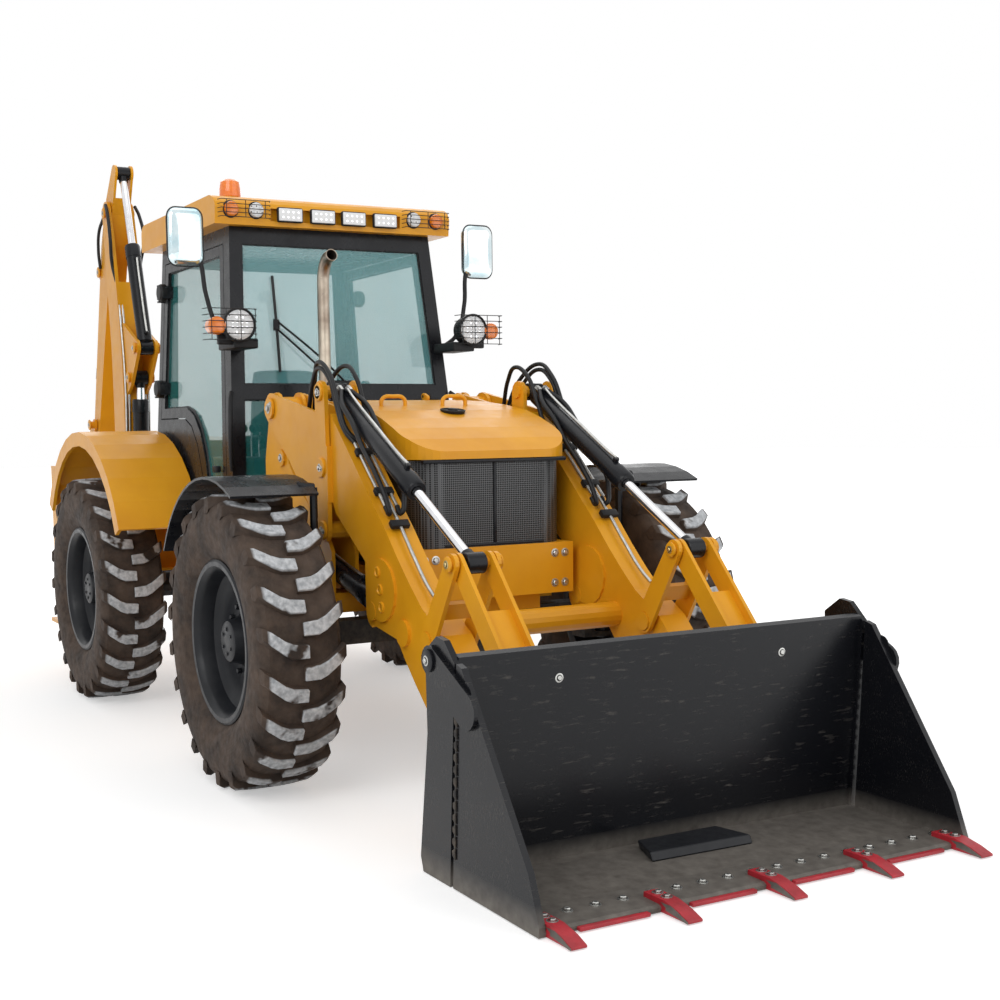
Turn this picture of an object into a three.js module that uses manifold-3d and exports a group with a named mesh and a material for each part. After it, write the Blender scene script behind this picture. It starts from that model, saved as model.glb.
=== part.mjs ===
// Backhoe loader: four equal wheels, cab, front loader with a two-piece bucket, side-shift backhoe.
// Millimetres. +X is the driving direction, +Y the machine's left, +Z up. While the pieces are made,
// x = 0 is the front axle and z = 0 the ground; at the end the whole machine is moved to its centre.
import * as THREE from 'three';
import { mergeVertices } from 'three/addons/utils/BufferGeometryUtils.js';
import Module from 'manifold-3d';

const wasm = await Module();
wasm.setup();

// ---------------------------------------------------------------- driving dimensions
const SEAT = 0.3; // gap between pieces that touch
const RUN = 6; // gap between pieces that move past each other
const WHEELBASE = 2650;
const REAR_AXLE_X = -WHEELBASE;
const WHEEL_Y = 1120; // wheel centre plane from the middle
const TYRE_RADIUS = 715;
const TYRE_HALF_WIDTH = 200;
const TYRE_SIDES = 22;
const RIM_RADIUS = 362; // bead seat
const FLANGE_RADIUS = 398;
const RIM_HALF_WIDTH = 148;
const KINGPIN_Y = 960;
const FENDER_FRONT_RADIUS = 782;

const RAIL_INNER_Y = 240;
const RAIL_OUTER_Y = 330;
const RAIL_BOTTOM_Z = 800;
const RAIL_TOP_Z = 1000;
const RAIL_FRONT_X = 330;
const RAIL_REAR_X = REAR_AXLE_X - 790;

const ARM_INNER_Y = 505; // boxed arm and tower lie between these planes
const ARM_OUTER_Y = 655;
const ARM_CENTRE_Y = (ARM_INNER_Y + ARM_OUTER_Y) / 2;
const ARM_HALF = (ARM_OUTER_Y - ARM_INNER_Y) / 2;
const PIN_SEAT = 0.4; // side gap of a hinged eye
const SKIN = 20; // thickness of the tower and arm plates
const CHEEK = 22; // thickness of the arm's rear cheek plates
const CHEEK_GAP = 5;
const ARM_PIVOT = [-764, 1839];
const TILT_RAM_PIN = [-110, 1908];
const CHEEK_MID_PIN = [-102, 1533];
const CHEEK_LOW_PIN = [-94, 1219];
const TOWER_PIN = [-679, 1573];
const LIFT_BASE = [-750, 1160];
const LIFT_EYE = [415, 865];
const LEVER_PIN = [1015, 800];
const LEVER_REACH = 112; // outer faces of a lever from the arm's centre plane
const LEVER_TOP = [1235, 1155];
const BUCKET_PIN = [1520, 275];
const LINK_PIN = [1640, 700];
const CROSS_TUBE = [735, 800];
const GUSSET = [508, 974];
const LIFT_SLOT = 55; // half width of the slot for the lift ram's eye

const BUCKET_HALF_WIDTH = 1030;
const BUCKET_BACK_X = 1800;
const BUCKET_TOP_Z = 880;
const CLAM_PIN = [1700, 850];
const EDGE_X = 2430; // cutting edge of the clam
const TOOTH_X = 2575;

const BUMPER_FRONT_X = 455;
const BUMPER_TOP_Z = 1143;
const BUMPER_HALF_WIDTH = 450;
const BONNET_HALF_WIDTH = 460;
const BONNET_FRONT_X = 472;
const BONNET_REAR_X = -895;
const BONNET_SKIN = 16;
const GRILLE_HALF_WIDTH = BONNET_HALF_WIDTH - BONNET_SKIN - RUN; // bonnet sides swing past it
const BONNET_HINGE = [-915, 1905];

const CAB_FLOOR_Z = 1120;
const CAB_TOP_Z = 2900;
const CAB_REAR_X = REAR_AXLE_X - 50;
const CAB_FRONT_X = -1190; // at floor height
const CAB_FRONT_TOP_X = -1430;
const CAB_HALF_BOTTOM = 760;
const CAB_HALF_TOP = 650;
const CAB_WALL = 50;
const DOOR_GAP = 7;
const DOOR_HINGE_X = CAB_REAR_X + 48;
const DOOR_HINGE_OUT = 26; // hinge axis outside the leaning side of the cab
const DOOR_HINGE_Z = [2000, 2620];
const ROOF_TOP_Z = CAB_TOP_Z + 170;

const SHIFT_Y = -450; // where the backhoe is parked on its rails
const HOE_HALF = 100; // half width of the boom
const HOE_CHEEK = HOE_HALF + 36; // outer faces of the kingpost's cheeks
const RAIL_FACE_X = RAIL_REAR_X - 200; // rear face of the carriage rails
const SWING_X = RAIL_FACE_X - 360;
const BOOM_FOOT = [SWING_X - 270, 800];
const BOOM_RAM_BASE = [SWING_X - 60, 1130];
const BOOM_RAM_EYE = [SWING_X + 10, 2130];
const DIPPER_RAM_BASE = [SWING_X + 180, 2340];
const DIPPER_PIN = [SWING_X - 440, 3400];
const DIPPER_TAIL = [SWING_X - 280, 3680];
const HOE_PIN = [SWING_X - 1150, 1420];
const HOE_LEVER_PIN = [SWING_X - 1041, 1785];
const HOE_LEVER_TIP = [SWING_X - 1330, 1560];
const HOE_LINK_PIN = [SWING_X - 1255, 1270];
const HOE_RAM_BASE = [SWING_X - 768, 2987];
const HOE_BUCKET_HALF = 210;

// ---------------------------------------------------------------- solids
// A closed geometry becomes a solid, turned the right way out.
function solid(geometry) {
  geometry.deleteAttribute('normal');
  geometry.deleteAttribute('uv');
  const merged = mergeVertices(geometry, 1e-3);
  const points = merged.attributes.position.array;
  const index = merged.index.array;
  const corner = (i) => new THREE.Vector3().fromArray(points, 3 * i);
  const kept = [];
  let volume = 0;
  for (let i = 0; i < index.length; i += 3) {
    const [a, b, c] = [index[i], index[i + 1], index[i + 2]];
    if (a === b || b === c || c === a) continue;
    kept.push([a, b, c]);
    volume += corner(a).dot(corner(b).cross(corner(c)));
  }
  const triangles = kept.flatMap(([a, b, c]) => (volume > 0 ? [a, b, c] : [a, c, b]));
  return new wasm.Manifold(new wasm.Mesh({
    numProp: 3,
    vertProperties: new Float32Array(points),
    triVerts: new Uint32Array(triangles),
  }));
}

function geometryOf(body) {
  const mesh = body.getMesh();
  const geometry = new THREE.BufferGeometry();
  geometry.setAttribute('position', new THREE.BufferAttribute(new Float32Array(mesh.vertProperties), 3));
  geometry.setIndex(new THREE.BufferAttribute(new Uint32Array(mesh.triVerts), 1));
  return geometry;
}

const join = (...bodies) => bodies.flat(3).reduce((all, body) => all.add(body));
const cut = (body, ...tools) => tools.flat(3).reduce((left, tool) => left.subtract(tool), body);

function box([x0, x1], [y0, y1], [z0, z1]) {
  const geometry = new THREE.BoxGeometry(Math.abs(x1 - x0), Math.abs(y1 - y0), Math.abs(z1 - z0));
  return solid(geometry.translate((x0 + x1) / 2, (y0 + y1) / 2, (z0 + z1) / 2));
}

// A box given for the left side; side -1 puts it on the right.
const sideBox = (side, xs, [y0, y1], zs) => box(xs, [side * y0, side * y1], zs);

const PLANES = { // outline axes and the axis it is extruded along
  xz: ['x', 'z', 'y'],
  yz: ['y', 'z', 'x'],
  xy: ['x', 'y', 'z'],
};
const UNIT = {
  x: new THREE.Vector3(1, 0, 0),
  y: new THREE.Vector3(0, 1, 0),
  z: new THREE.Vector3(0, 0, 1),
};

function prism(plane, outline, from, to, curveSegments = 4) {
  const shape = outline instanceof THREE.Shape ? outline
    : new THREE.Shape(outline.map(([u, v]) => new THREE.Vector2(u, v)));
  const low = Math.min(from, to);
  const geometry = new THREE.ExtrudeGeometry(shape, {
    depth: Math.max(from, to) - low, bevelEnabled: false, curveSegments,
  });
  const [u, v, w] = PLANES[plane].map((axis) => UNIT[axis]);
  const place = new THREE.Matrix4().makeBasis(u, v, w).setPosition(w.clone().multiplyScalar(low));
  return solid(geometry.applyMatrix4(place));
}

// Plate in the side view, between two y planes.
const plate = (outline, y0, y1, segments) => prism('xz', outline, y0, y1, segments);

// Outline of a link with a round end of its own radius at each point.
function linkOutline(p, q, pRadius, qRadius = pRadius) {
  const heading = Math.atan2(q[1] - p[1], q[0] - p[0]);
  const lean = Math.acos((pRadius - qRadius) / Math.hypot(q[0] - p[0], q[1] - p[1]));
  const shape = new THREE.Shape();
  shape.absarc(q[0], q[1], qRadius, heading - lean, heading + lean, false);
  shape.absarc(p[0], p[1], pRadius, heading + lean, heading - lean + 2 * Math.PI, false);
  return shape;
}

// Round bar along Y at a side-view point.
function crossBar([x, z], y0, y1, radius, sides = 10) {
  const geometry = new THREE.CylinderGeometry(radius, radius, Math.abs(y1 - y0), sides);
  return solid(geometry.translate(x, (y0 + y1) / 2, z));
}

// Clear hole along Y for a pin of that radius, wide enough for the pin to turn in.
function bore(point, y0, y1, pinRadius, sides = 16) {
  return crossBar(point, y0, y1, (pinRadius + 0.4) / Math.cos(Math.PI / sides), sides);
}

// Two pin ends along Y, one on each side of an eye that stays free between them.
function pinEnds(point, centreY, inner, outer, radius, sides) {
  return [
    crossBar(point, centreY - outer, centreY - inner, radius, sides),
    crossBar(point, centreY + inner, centreY + outer, radius, sides),
  ];
}

// Round bar between two points in space.
function bar(from, to, radius, sides = 12, endRadius = radius) {
  const start = new THREE.Vector3(...from);
  const axis = new THREE.Vector3(...to).sub(start);
  const geometry = new THREE.CylinderGeometry(endRadius, radius, axis.length(), sides);
  const turn = new THREE.Quaternion().setFromUnitVectors(UNIT.y, axis.clone().normalize());
  return solid(geometry.applyQuaternion(turn).translate(...start.addScaledVector(axis, 0.5).toArray()));
}

// Tube along a smooth line through the points.
function tube(points, radius, steps, sides = 8) {
  const path = new THREE.CatmullRomCurve3(points.map((p) => new THREE.Vector3(...p)));
  const ring = new THREE.Shape(Array.from({ length: sides }, (_, i) => {
    const angle = (2 * Math.PI * i) / sides;
    return new THREE.Vector2(radius * Math.cos(angle), radius * Math.sin(angle));
  }));
  return solid(new THREE.ExtrudeGeometry(ring, { steps, extrudePath: path }));
}

// Solid turned about the Y axis from a profile of [radius, y] points.
function turned(profile, sides) {
  const points = profile.map(([r, y]) => new THREE.Vector2(r, y));
  return solid(new THREE.LatheGeometry(points, sides, Math.PI / sides));
}

const between = (p, q, share) => p.map((value, i) => value + (q[i] - value) * share);
const distance = (p, q) => Math.hypot(q[0] - p[0], q[1] - p[1]);
const inSpace = ([x, z], y) => [x, y, z];

// ---------------------------------------------------------------- hydraulic rams
// Barrel from its base eye to its gland, and rod from inside the barrel to its own eye.
function ramBarrel(base, eye, y, { radius, barrelLength, eyeRadius, eyeHalf }) {
  const share = barrelLength / distance(base, eye);
  const mouth = between(base, eye, share);
  const foot = between(base, eye, (eyeRadius * 0.8) / distance(base, eye));
  const outer = bar(inSpace(foot, y), inSpace(mouth, y), radius, 12);
  const bottom = between(base, eye, (eyeRadius + 45) / distance(base, eye));
  const hole = bar(inSpace(bottom, y), inSpace(between(base, eye, 2 * share), y), radius * 0.62, 10);
  return join(cut(outer, hole), crossBar(base, y - eyeHalf, y + eyeHalf, eyeRadius));
}

function ramRod(base, eye, y, { radius, rodStart, eyeRadius, eyeHalf }) {
  const start = between(base, eye, rodStart / distance(base, eye));
  const end = between(eye, base, (eyeRadius * 0.8) / distance(base, eye));
  const piston = between(base, eye, (rodStart + 40) / distance(base, eye));
  return join(
    bar(inSpace(start, y), inSpace(end, y), radius * 0.5, 10),
    bar(inSpace(start, y), inSpace(piston, y), radius * 0.62 - 0.4, 10),
    crossBar(eye, y - eyeHalf, y + eyeHalf, eyeRadius),
  );
}

const LIFT_RAM = { radius: 54, barrelLength: 1050, rodStart: 125, eyeRadius: 50, eyeHalf: 48 };
const TILT_RAM = { radius: 48, barrelLength: 960, rodStart: 400, eyeRadius: 46, eyeHalf: 46 };
const BOOM_RAM = { radius: 58, barrelLength: 840, rodStart: 115, eyeRadius: 52, eyeHalf: 50 };
const DIPPER_RAM = { radius: 54, barrelLength: 820, rodStart: 700, eyeRadius: 50, eyeHalf: 48 };
const HOE_RAM = { radius: 44, barrelLength: 900, rodStart: 740, eyeRadius: 42, eyeHalf: 46 };

// ---------------------------------------------------------------- wheels and axles
function tyre() {
  const half = [
    [RIM_RADIUS, RIM_HALF_WIDTH],
    [FLANGE_RADIUS + 5, RIM_HALF_WIDTH],
    [500, TYRE_HALF_WIDTH],
    [680, TYRE_HALF_WIDTH - 10],
    [TYRE_RADIUS / Math.cos(Math.PI / TYRE_SIDES), TYRE_HALF_WIDTH - 42], // a flat meets the ground
  ];
  const mirrored = half.map(([r, y]) => [r, -y]).reverse();
  return turned([...half, ...mirrored, half[0]], TYRE_SIDES);
}

function rim(side) {
  const seatRadius = RIM_RADIUS - SEAT;
  const barrelRadius = 342;
  const lip = RIM_HALF_WIDTH + SEAT;
  const lipOut = lip + 18;
  const profile = [
    [0, 118], [110, 118], [128, 42], [250, 26], [barrelRadius, 60],
    [barrelRadius + 6, lipOut], [FLANGE_RADIUS, lipOut], [FLANGE_RADIUS, lip], [seatRadius, lip],
    [seatRadius, -lip], [FLANGE_RADIUS, -lip], [FLANGE_RADIUS, -lipOut], [barrelRadius, -lipOut],
    [barrelRadius, 8], [0, 8],
  ];
  return turned(profile.map(([r, y]) => [r, side * y]), TYRE_SIDES);
}

// Fork, kingpin and hub heights and the gaps that let the steered hub swing inside the fork.
const FORK = { half: 60, web: [790, 850], ear: 1010, low: [TYRE_RADIUS - 145, TYRE_RADIUS - 121],
  high: [TYRE_RADIUS + 121, TYRE_RADIUS + 145] };
const KINGPIN_RADIUS = 42;

function frontAxle() {
  const beam = box([-62, 62], [-800, 800], [TYRE_RADIUS - 60, TYRE_RADIUS + 60]);
  const housing = bar([0, -190, TYRE_RADIUS - 70], [0, 190, TYRE_RADIUS - 70], 140, 12);
  const trunnion = box([-65, 65], [-110, 110],
    [TYRE_RADIUS + 45, RAIL_BOTTOM_Z - SEAT]);
  const across = [-FORK.half, FORK.half];
  const forks = [1, -1].map((side) => join(
    sideBox(side, across, FORK.web, [FORK.low[0], FORK.high[1]]),
    [FORK.low, FORK.high].map((zs) => sideBox(side, across, [FORK.web[1] - 1, FORK.ear], zs)),
  ));
  const bores = [1, -1].map((side) => bar([0, side * KINGPIN_Y, FORK.low[0] - 70],
    [0, side * KINGPIN_Y, FORK.high[1] + 40], (KINGPIN_RADIUS + 0.4) / Math.cos(Math.PI / 12), 12));
  return cut(join(beam, housing, trunnion, forks), bores);
}

function rearAxle() {
  const beam = bar([REAR_AXLE_X, 118 - WHEEL_Y, TYRE_RADIUS], [REAR_AXLE_X, WHEEL_Y - 118, TYRE_RADIUS], 85, 12);
  const housing = bar([REAR_AXLE_X, -190, TYRE_RADIUS], [REAR_AXLE_X, 190, TYRE_RADIUS], 170, 12);
  const pads = [1, -1].map((side) => sideBox(side, [REAR_AXLE_X - 90, REAR_AXLE_X + 90],
    [RAIL_INNER_Y, RAIL_OUTER_Y], [TYRE_RADIUS + 25, RAIL_BOTTOM_Z - SEAT]));
  const drums = [1, -1].map((side) => bar([REAR_AXLE_X, side * 940, TYRE_RADIUS],
    [REAR_AXLE_X, side * (WHEEL_Y + 8 - SEAT), TYRE_RADIUS], 125, 12));
  return join(beam, housing, pads, drums);
}

// Steered hub with its kingpin and mudguard, which turn together.
function knuckle(side) {
  const [y, stalkY] = [side * KINGPIN_Y, side * 880];
  const hub = bar([0, side * 910, TYRE_RADIUS], [0, side * (WHEEL_Y + 8 - SEAT), TYRE_RADIUS], 105, 12);
  const kingpin = bar([0, y, FORK.low[0] - 14], [0, y, FORK.high[1] + 30], KINGPIN_RADIUS, 12);
  const thickness = 12;
  const arc = (radius, from, to) => Array.from({ length: 13 }, (_, i) => {
    const angle = from + ((to - from) * i) / 12;
    return [radius * Math.cos(angle), TYRE_RADIUS + radius * Math.sin(angle)];
  });
  const front = THREE.MathUtils.degToRad(64);
  const rear = THREE.MathUtils.degToRad(150);
  const guard = plate([
    ...arc(FENDER_FRONT_RADIUS + thickness, front, rear), ...arc(FENDER_FRONT_RADIUS, rear, front),
  ], side * 895, side * 1330);
  const stalks = [-330, 250].map((x) => {
    const top = TYRE_RADIUS + Math.sqrt(FENDER_FRONT_RADIUS ** 2 - x ** 2) - 4;
    return join(
      bar([x * 0.12, stalkY, FORK.high[1] + 25], [x, stalkY, TYRE_RADIUS + 385], 20, 8),
      bar([x, stalkY, TYRE_RADIUS + 383], [x, stalkY, top], 20, 8),
      bar([x, stalkY, top], [x, y, top + 12], 20, 8),
    );
  });
  const head = sideBox(side, [-70, 70], [862, 975], [FORK.high[1] + RUN, FORK.high[1] + 34]);
  const lugs = [[FORK.low[1] + 0.5, TYRE_RADIUS - 75], [TYRE_RADIUS + 85, FORK.high[0] - 0.5]].map(
    ([from, to]) => bar([0, y, from], [0, y, to], 58, 12));
  return join(hub, kingpin, lugs, head, stalks, guard);
}

// ---------------------------------------------------------------- chassis
function towerOutline() {
  const shape = new THREE.Shape();
  const [px, pz] = ARM_PIVOT;
  shape.moveTo(-930, RAIL_BOTTOM_Z + 60);
  shape.lineTo(-60, RAIL_BOTTOM_Z + 60);
  shape.lineTo(-60, 1110);
  shape.quadraticCurveTo(-110, 1200, -330, 1330);
  shape.quadraticCurveTo(-600, 1500, TOWER_PIN[0] + 66, TOWER_PIN[1] + 20);
  shape.lineTo(px + 86, pz - 20);
  shape.absarc(px, pz, 86, -0.2, Math.PI, false);
  shape.lineTo(-930, 1560);
  return shape;
}

function tower(side) {
  const outline = towerOutline();
  const inner = plate(outline, side * ARM_INNER_Y, side * (ARM_INNER_Y + SKIN));
  const outer = plate(outline, side * (ARM_OUTER_Y - SKIN), side * ARM_OUTER_Y);
  const web = sideBox(side, [-930, -910], [ARM_INNER_Y, ARM_OUTER_Y], [860, 1560]);
  const pinOut = ARM_OUTER_Y + CHEEK_GAP + CHEEK + 4;
  const pinIn = ARM_INNER_Y - CHEEK_GAP - CHEEK - 4;
  return join(inner, outer, web,
    crossBar(ARM_PIVOT, side * ARM_INNER_Y, side * ARM_OUTER_Y, 62),
    crossBar(ARM_PIVOT, side * pinIn, side * pinOut, 40, 12),
    crossBar(ARM_PIVOT, side * (pinOut - 0.5), side * (pinOut + 12), 58, 12),
    crossBar(TOWER_PIN, side * ARM_INNER_Y, side * (ARM_OUTER_Y + 14), 46),
    pinEnds(LIFT_BASE, side * ARM_CENTRE_Y, LIFT_RAM.eyeHalf + PIN_SEAT, ARM_HALF + 10, 34),
    sideBox(side, [-260, -60], [ARM_INNER_Y, ARM_OUTER_Y], [860, 900]));
}

function chassis() {
  const rails = [1, -1].map((side) => sideBox(side, [RAIL_REAR_X, RAIL_FRONT_X],
    [RAIL_INNER_Y, RAIL_OUTER_Y], [RAIL_BOTTOM_Z, RAIL_TOP_Z]));
  const across = [[250, 330], [-60, 40], [-1300, -1180], [REAR_AXLE_X + 350, REAR_AXLE_X + 470],
    [RAIL_REAR_X, RAIL_REAR_X + 100]].map((xs) => (
    box(xs, [-RAIL_OUTER_Y, RAIL_OUTER_Y], [RAIL_BOTTOM_Z, RAIL_BOTTOM_Z + 90])));
  const towerBeams = [[-930, -800], [-260, -60]].map((xs) => (
    box(xs, [-ARM_OUTER_Y, ARM_OUTER_Y], [RAIL_BOTTOM_Z, RAIL_BOTTOM_Z + 90])));
  const cabMounts = [];
  for (const x of [-1330, REAR_AXLE_X + 90]) {
    for (const side of [1, -1]) {
      cabMounts.push(sideBox(side, [x - 60, x + 60], [RAIL_INNER_Y, RAIL_OUTER_Y],
        [RAIL_TOP_Z - 1, CAB_FLOOR_Z - SEAT]));
    }
  }
  return join(rails, across, towerBeams, cabMounts, tower(1), tower(-1), bumper());
}

const engine = () => join(
  box([-700, 180], [-(RAIL_INNER_Y - SEAT), RAIL_INNER_Y - SEAT], [905, 1180]),
  box([-640, 120], [-170, 170], [1170, 1500]),
);

function bumper() {
  const front = box([RAIL_FRONT_X - 1, BUMPER_FRONT_X], [-BUMPER_HALF_WIDTH, BUMPER_HALF_WIDTH],
    [890, BUMPER_TOP_Z]);
  const wings = [1, -1].map((side) => sideBox(side, [-40, RAIL_FRONT_X + 20],
    [BUMPER_HALF_WIDTH - 18, BUMPER_HALF_WIDTH], [890, BUMPER_TOP_Z]));
  return join(front, wings);
}

// Rounded plan outline: straight back edge, two round front corners.
function noseOutline(rearX, frontX, half, radius) {
  const shape = new THREE.Shape();
  shape.moveTo(rearX, -half);
  shape.lineTo(frontX - radius, -half);
  shape.absarc(frontX - radius, -half + radius, radius, -Math.PI / 2, 0, false);
  shape.absarc(frontX - radius, half - radius, radius, 0, Math.PI / 2, false);
  shape.lineTo(rearX, half);
  return shape;
}

function grille() {
  const [low, high] = [BUMPER_TOP_Z + SEAT, 1566];
  const wall = 22;
  const outer = prism('xy', noseOutline(-40, BUMPER_FRONT_X - 12, GRILLE_HALF_WIDTH, 170), low, high);
  const inner = prism('xy', noseOutline(-90, BUMPER_FRONT_X - 12 - wall, GRILLE_HALF_WIDTH - wall, 150),
    low - 5, high + 5);
  const radiator = box([200, 290], [-(GRILLE_HALF_WIDTH - 18), GRILLE_HALF_WIDTH - 18], [low, high - 6]);
  return join(cut(outer, inner), radiator);
}

function bonnet() {
  const profile = (inset) => {
    const shape = new THREE.Shape();
    shape.moveTo(BONNET_REAR_X - inset, 1250 - 3 * inset);
    shape.lineTo(-60 + inset, 1250 - 3 * inset);
    shape.lineTo(-60 + inset, 1572 - (inset ? 200 : 0));
    shape.lineTo(BONNET_FRONT_X - inset, 1572 - (inset ? 200 : 0));
    shape.lineTo(BONNET_FRONT_X - inset, 1610 - inset);
    shape.quadraticCurveTo(300, 1735 - inset, 0, 1812 - inset);
    shape.quadraticCurveTo(-400, 1880 - inset, BONNET_REAR_X - inset, 1884 - inset);
    return shape;
  };
  const half = BONNET_HALF_WIDTH;
  const plan = (inset) => prism('xy', noseOutline(BONNET_REAR_X - 4 * inset, BONNET_FRONT_X - inset,
    half - inset, 180 - inset), 1000, 2000);
  const shell = (inset) => plate(profile(inset), -half, half).intersect(plan(inset));
  const cavity = shell(BONNET_SKIN);
  const handles = [-230, 130].map((y) => tube([
    [-190, y - 70, 1820], [-190, y - 60, 1880], [-190, y, 1888], [-190, y + 60, 1880], [-190, y + 70, 1820],
  ], 9, 10, 6));
  const lugs = [1, -1].map((side) => cut(plate(linkOutline(BONNET_HINGE, [-880, 1895], 19, 16),
    side * 328, side * 346), bore(BONNET_HINGE, side * 320, side * 350, 8, 12)));
  return join(cut(shell(0), cavity), handles, lugs);
}

// ---------------------------------------------------------------- cab
const cabHalf = (z) => CAB_HALF_BOTTOM
  + ((CAB_HALF_TOP - CAB_HALF_BOTTOM) * (z - CAB_FLOOR_Z)) / (CAB_TOP_Z - CAB_FLOOR_Z);
const cabFront = (z) => CAB_FRONT_X
  + ((CAB_FRONT_TOP_X - CAB_FRONT_X) * (z - CAB_FLOOR_Z)) / (CAB_TOP_Z - CAB_FLOOR_Z);

function cabBlock(inset, floor, ceiling) {
  const low = CAB_FLOOR_Z + floor;
  const high = CAB_TOP_Z - ceiling;
  const section = [[-cabHalf(low) + inset, low], [cabHalf(low) - inset, low],
    [cabHalf(high) - inset, high], [-cabHalf(high) + inset, high]];
  const sideView = [[CAB_REAR_X + inset, low], [cabFront(low) - inset, low],
    [cabFront(high) - inset, high], [CAB_REAR_X + inset, high]];
  return prism('yz', section, CAB_REAR_X - 300, -1000).intersect(plate(sideView, -900, 900));
}

const cabShell = () => cut(cabBlock(0, 0, 0), cabBlock(CAB_WALL, 60, CAB_WALL));

// Door opening in the side view; a positive inset makes the door that fits it.
function doorOutline(inset) {
  const front = (z) => cabFront(z) - 100 - inset;
  const rear = CAB_REAR_X + 70 + inset;
  const low = 1230 + inset;
  const high = CAB_TOP_Z - 90 - inset;
  const shape = new THREE.Shape();
  shape.moveTo(front(low), low);
  shape.lineTo(front(high), high);
  shape.lineTo(rear, high);
  shape.lineTo(rear, 1800 + inset);
  shape.lineTo(-2140 + inset, 1800 + inset);
  shape.quadraticCurveTo(-1850 + inset, 1760 + inset, -1680 + inset, low);
  return shape;
}

function windowOutline() {
  const front = (z) => cabFront(z) - 165;
  const rear = CAB_REAR_X + 140;
  const shape = new THREE.Shape();
  shape.moveTo(front(1300), 1300);
  shape.lineTo(front(2745), 2745);
  shape.lineTo(rear, 2745);
  shape.lineTo(rear, 1870);
  shape.lineTo(-2120, 1870);
  shape.quadraticCurveTo(-1780, 1830, -1620, 1300);
  return shape;
}

function door(side) {
  const wall = cabShell().intersect(plate(doorOutline(DOOR_GAP), side * 500, side * 900));
  const pane = plate(windowOutline(), side * 500, side * 900);
  const hinges = DOOR_HINGE_Z.map((z) => {
    const y = cabHalf(z) + DOOR_HINGE_OUT;
    const strap = sideBox(side, [DOOR_HINGE_X, CAB_REAR_X + 190], [y - 18, y + 18], [z - 38, z + 38]);
    const foot = sideBox(side, [CAB_REAR_X + 85, CAB_REAR_X + 190], [cabHalf(z) - 20, y], [z - 38, z + 38]);
    return cut(join(strap, foot, hingeBar(side, z, 38, 18)), hingeBar(side, z, 60, 9.4 / Math.cos(Math.PI / 6), 6));
  });
  return join(cut(wall, pane), hinges);
}

// Round bar along a door's leaning hinge axis.
function hingeBar(side, z, half, radius, sides = 8) {
  const [low, high] = [z - half, z + half].map((level) => (
    [DOOR_HINGE_X, side * (cabHalf(level) + DOOR_HINGE_OUT), level]));
  return bar(low, high, radius, sides);
}

const doorPins = (side) => DOOR_HINGE_Z.map((z) => join(
  hingeBar(side, z, 56, 9),
  [-51, 51].map((rise) => sideBox(side, [DOOR_HINGE_X - 16, DOOR_HINGE_X + 16],
    [cabHalf(z) - 8, cabHalf(z) + DOOR_HINGE_OUT + 14], [z + rise - 6, z + rise + 6])),
));

function cabFrame() {
  const high = CAB_TOP_Z - 100;
  const windscreen = prism('yz', [[-cabHalf(1985) + 80, 1985], [cabHalf(1985) - 80, 1985],
    [cabHalf(high) - 80, high], [-cabHalf(high) + 80, high]], -1600, -1000);
  const lowerPanes = [1, -1].map((side) => prism('yz', [[side * 475, 1300], [side * (cabHalf(1300) - 80), 1300],
    [side * (cabHalf(1900) - 80), 1900], [side * 475, 1900]], -1600, -1000));
  const rearPane = prism('yz', [[-600, 1650], [600, 1650], [565, high], [-565, high]],
    CAB_REAR_X - 200, CAB_REAR_X + 100);
  const doorways = [1, -1].map((side) => plate(doorOutline(0), side * 500, side * 900));
  const cowlWall = 18;
  const cowl = cut(
    box([-1280, BONNET_REAR_X - RUN], [-BONNET_HALF_WIDTH + 4, BONNET_HALF_WIDTH - 4], [1250, 1880]),
    box([-1400, BONNET_REAR_X - RUN - cowlWall], [-BONNET_HALF_WIDTH + 22, BONNET_HALF_WIDTH - 22],
      [1100, 1880 - cowlWall]),
    cabBlock(CAB_WALL / 2, 60, CAB_WALL),
  );
  const hingePins = [1, -1].map((side) => join(
    crossBar(BONNET_HINGE, side * 326, side * 360, 8),
    sideBox(side, [BONNET_HINGE[0] - 14, -902], [352, 376], [1875, BONNET_HINGE[1] + 12]),
  ));
  const pedestal = box([-2180, -1880], [-190, 190], [CAB_FLOOR_Z + 50, 1500]);
  return join(cut(cabShell(), windscreen, lowerPanes, rearPane, doorways), cowl, hingePins, doorPins(1),
    doorPins(-1), pedestal, steeringColumn());
}

function roof() {
  const low = CAB_TOP_Z + SEAT;
  const brow = CAB_TOP_Z + 100;
  const shape = new THREE.Shape();
  shape.moveTo(CAB_REAR_X - 100, low);
  shape.lineTo(-1362, low);
  shape.lineTo(-1350, brow);
  shape.quadraticCurveTo(-1370, ROOF_TOP_Z - 10, -1450, ROOF_TOP_Z);
  shape.lineTo(CAB_REAR_X - 40, ROOF_TOP_Z);
  shape.quadraticCurveTo(CAB_REAR_X - 100, ROOF_TOP_Z - 10, CAB_REAR_X - 100, brow);
  const lampRecess = box([-1385, -1300], [-420, 420], [CAB_TOP_Z + 30, brow]);
  return join(cut(plate(shape, -760, 760), lampRecess), beacon());
}

const beacon = () => join(
  bar([-1640, -560, ROOF_TOP_Z - 5], [-1640, -560, ROOF_TOP_Z + 26], 56, 20),
  bar([-1640, -560, ROOF_TOP_Z + 25], [-1640, -560, ROOF_TOP_Z + 125], 48, 20, 40),
);

const seat = () => join(
  box([-2270, -1790], [-245, 245], [1500 + SEAT, 1620]),
  plate([[-2270, 1560], [-2190, 1600], [-2260, 2160], [-2350, 2160]], -225, 225),
);

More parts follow.
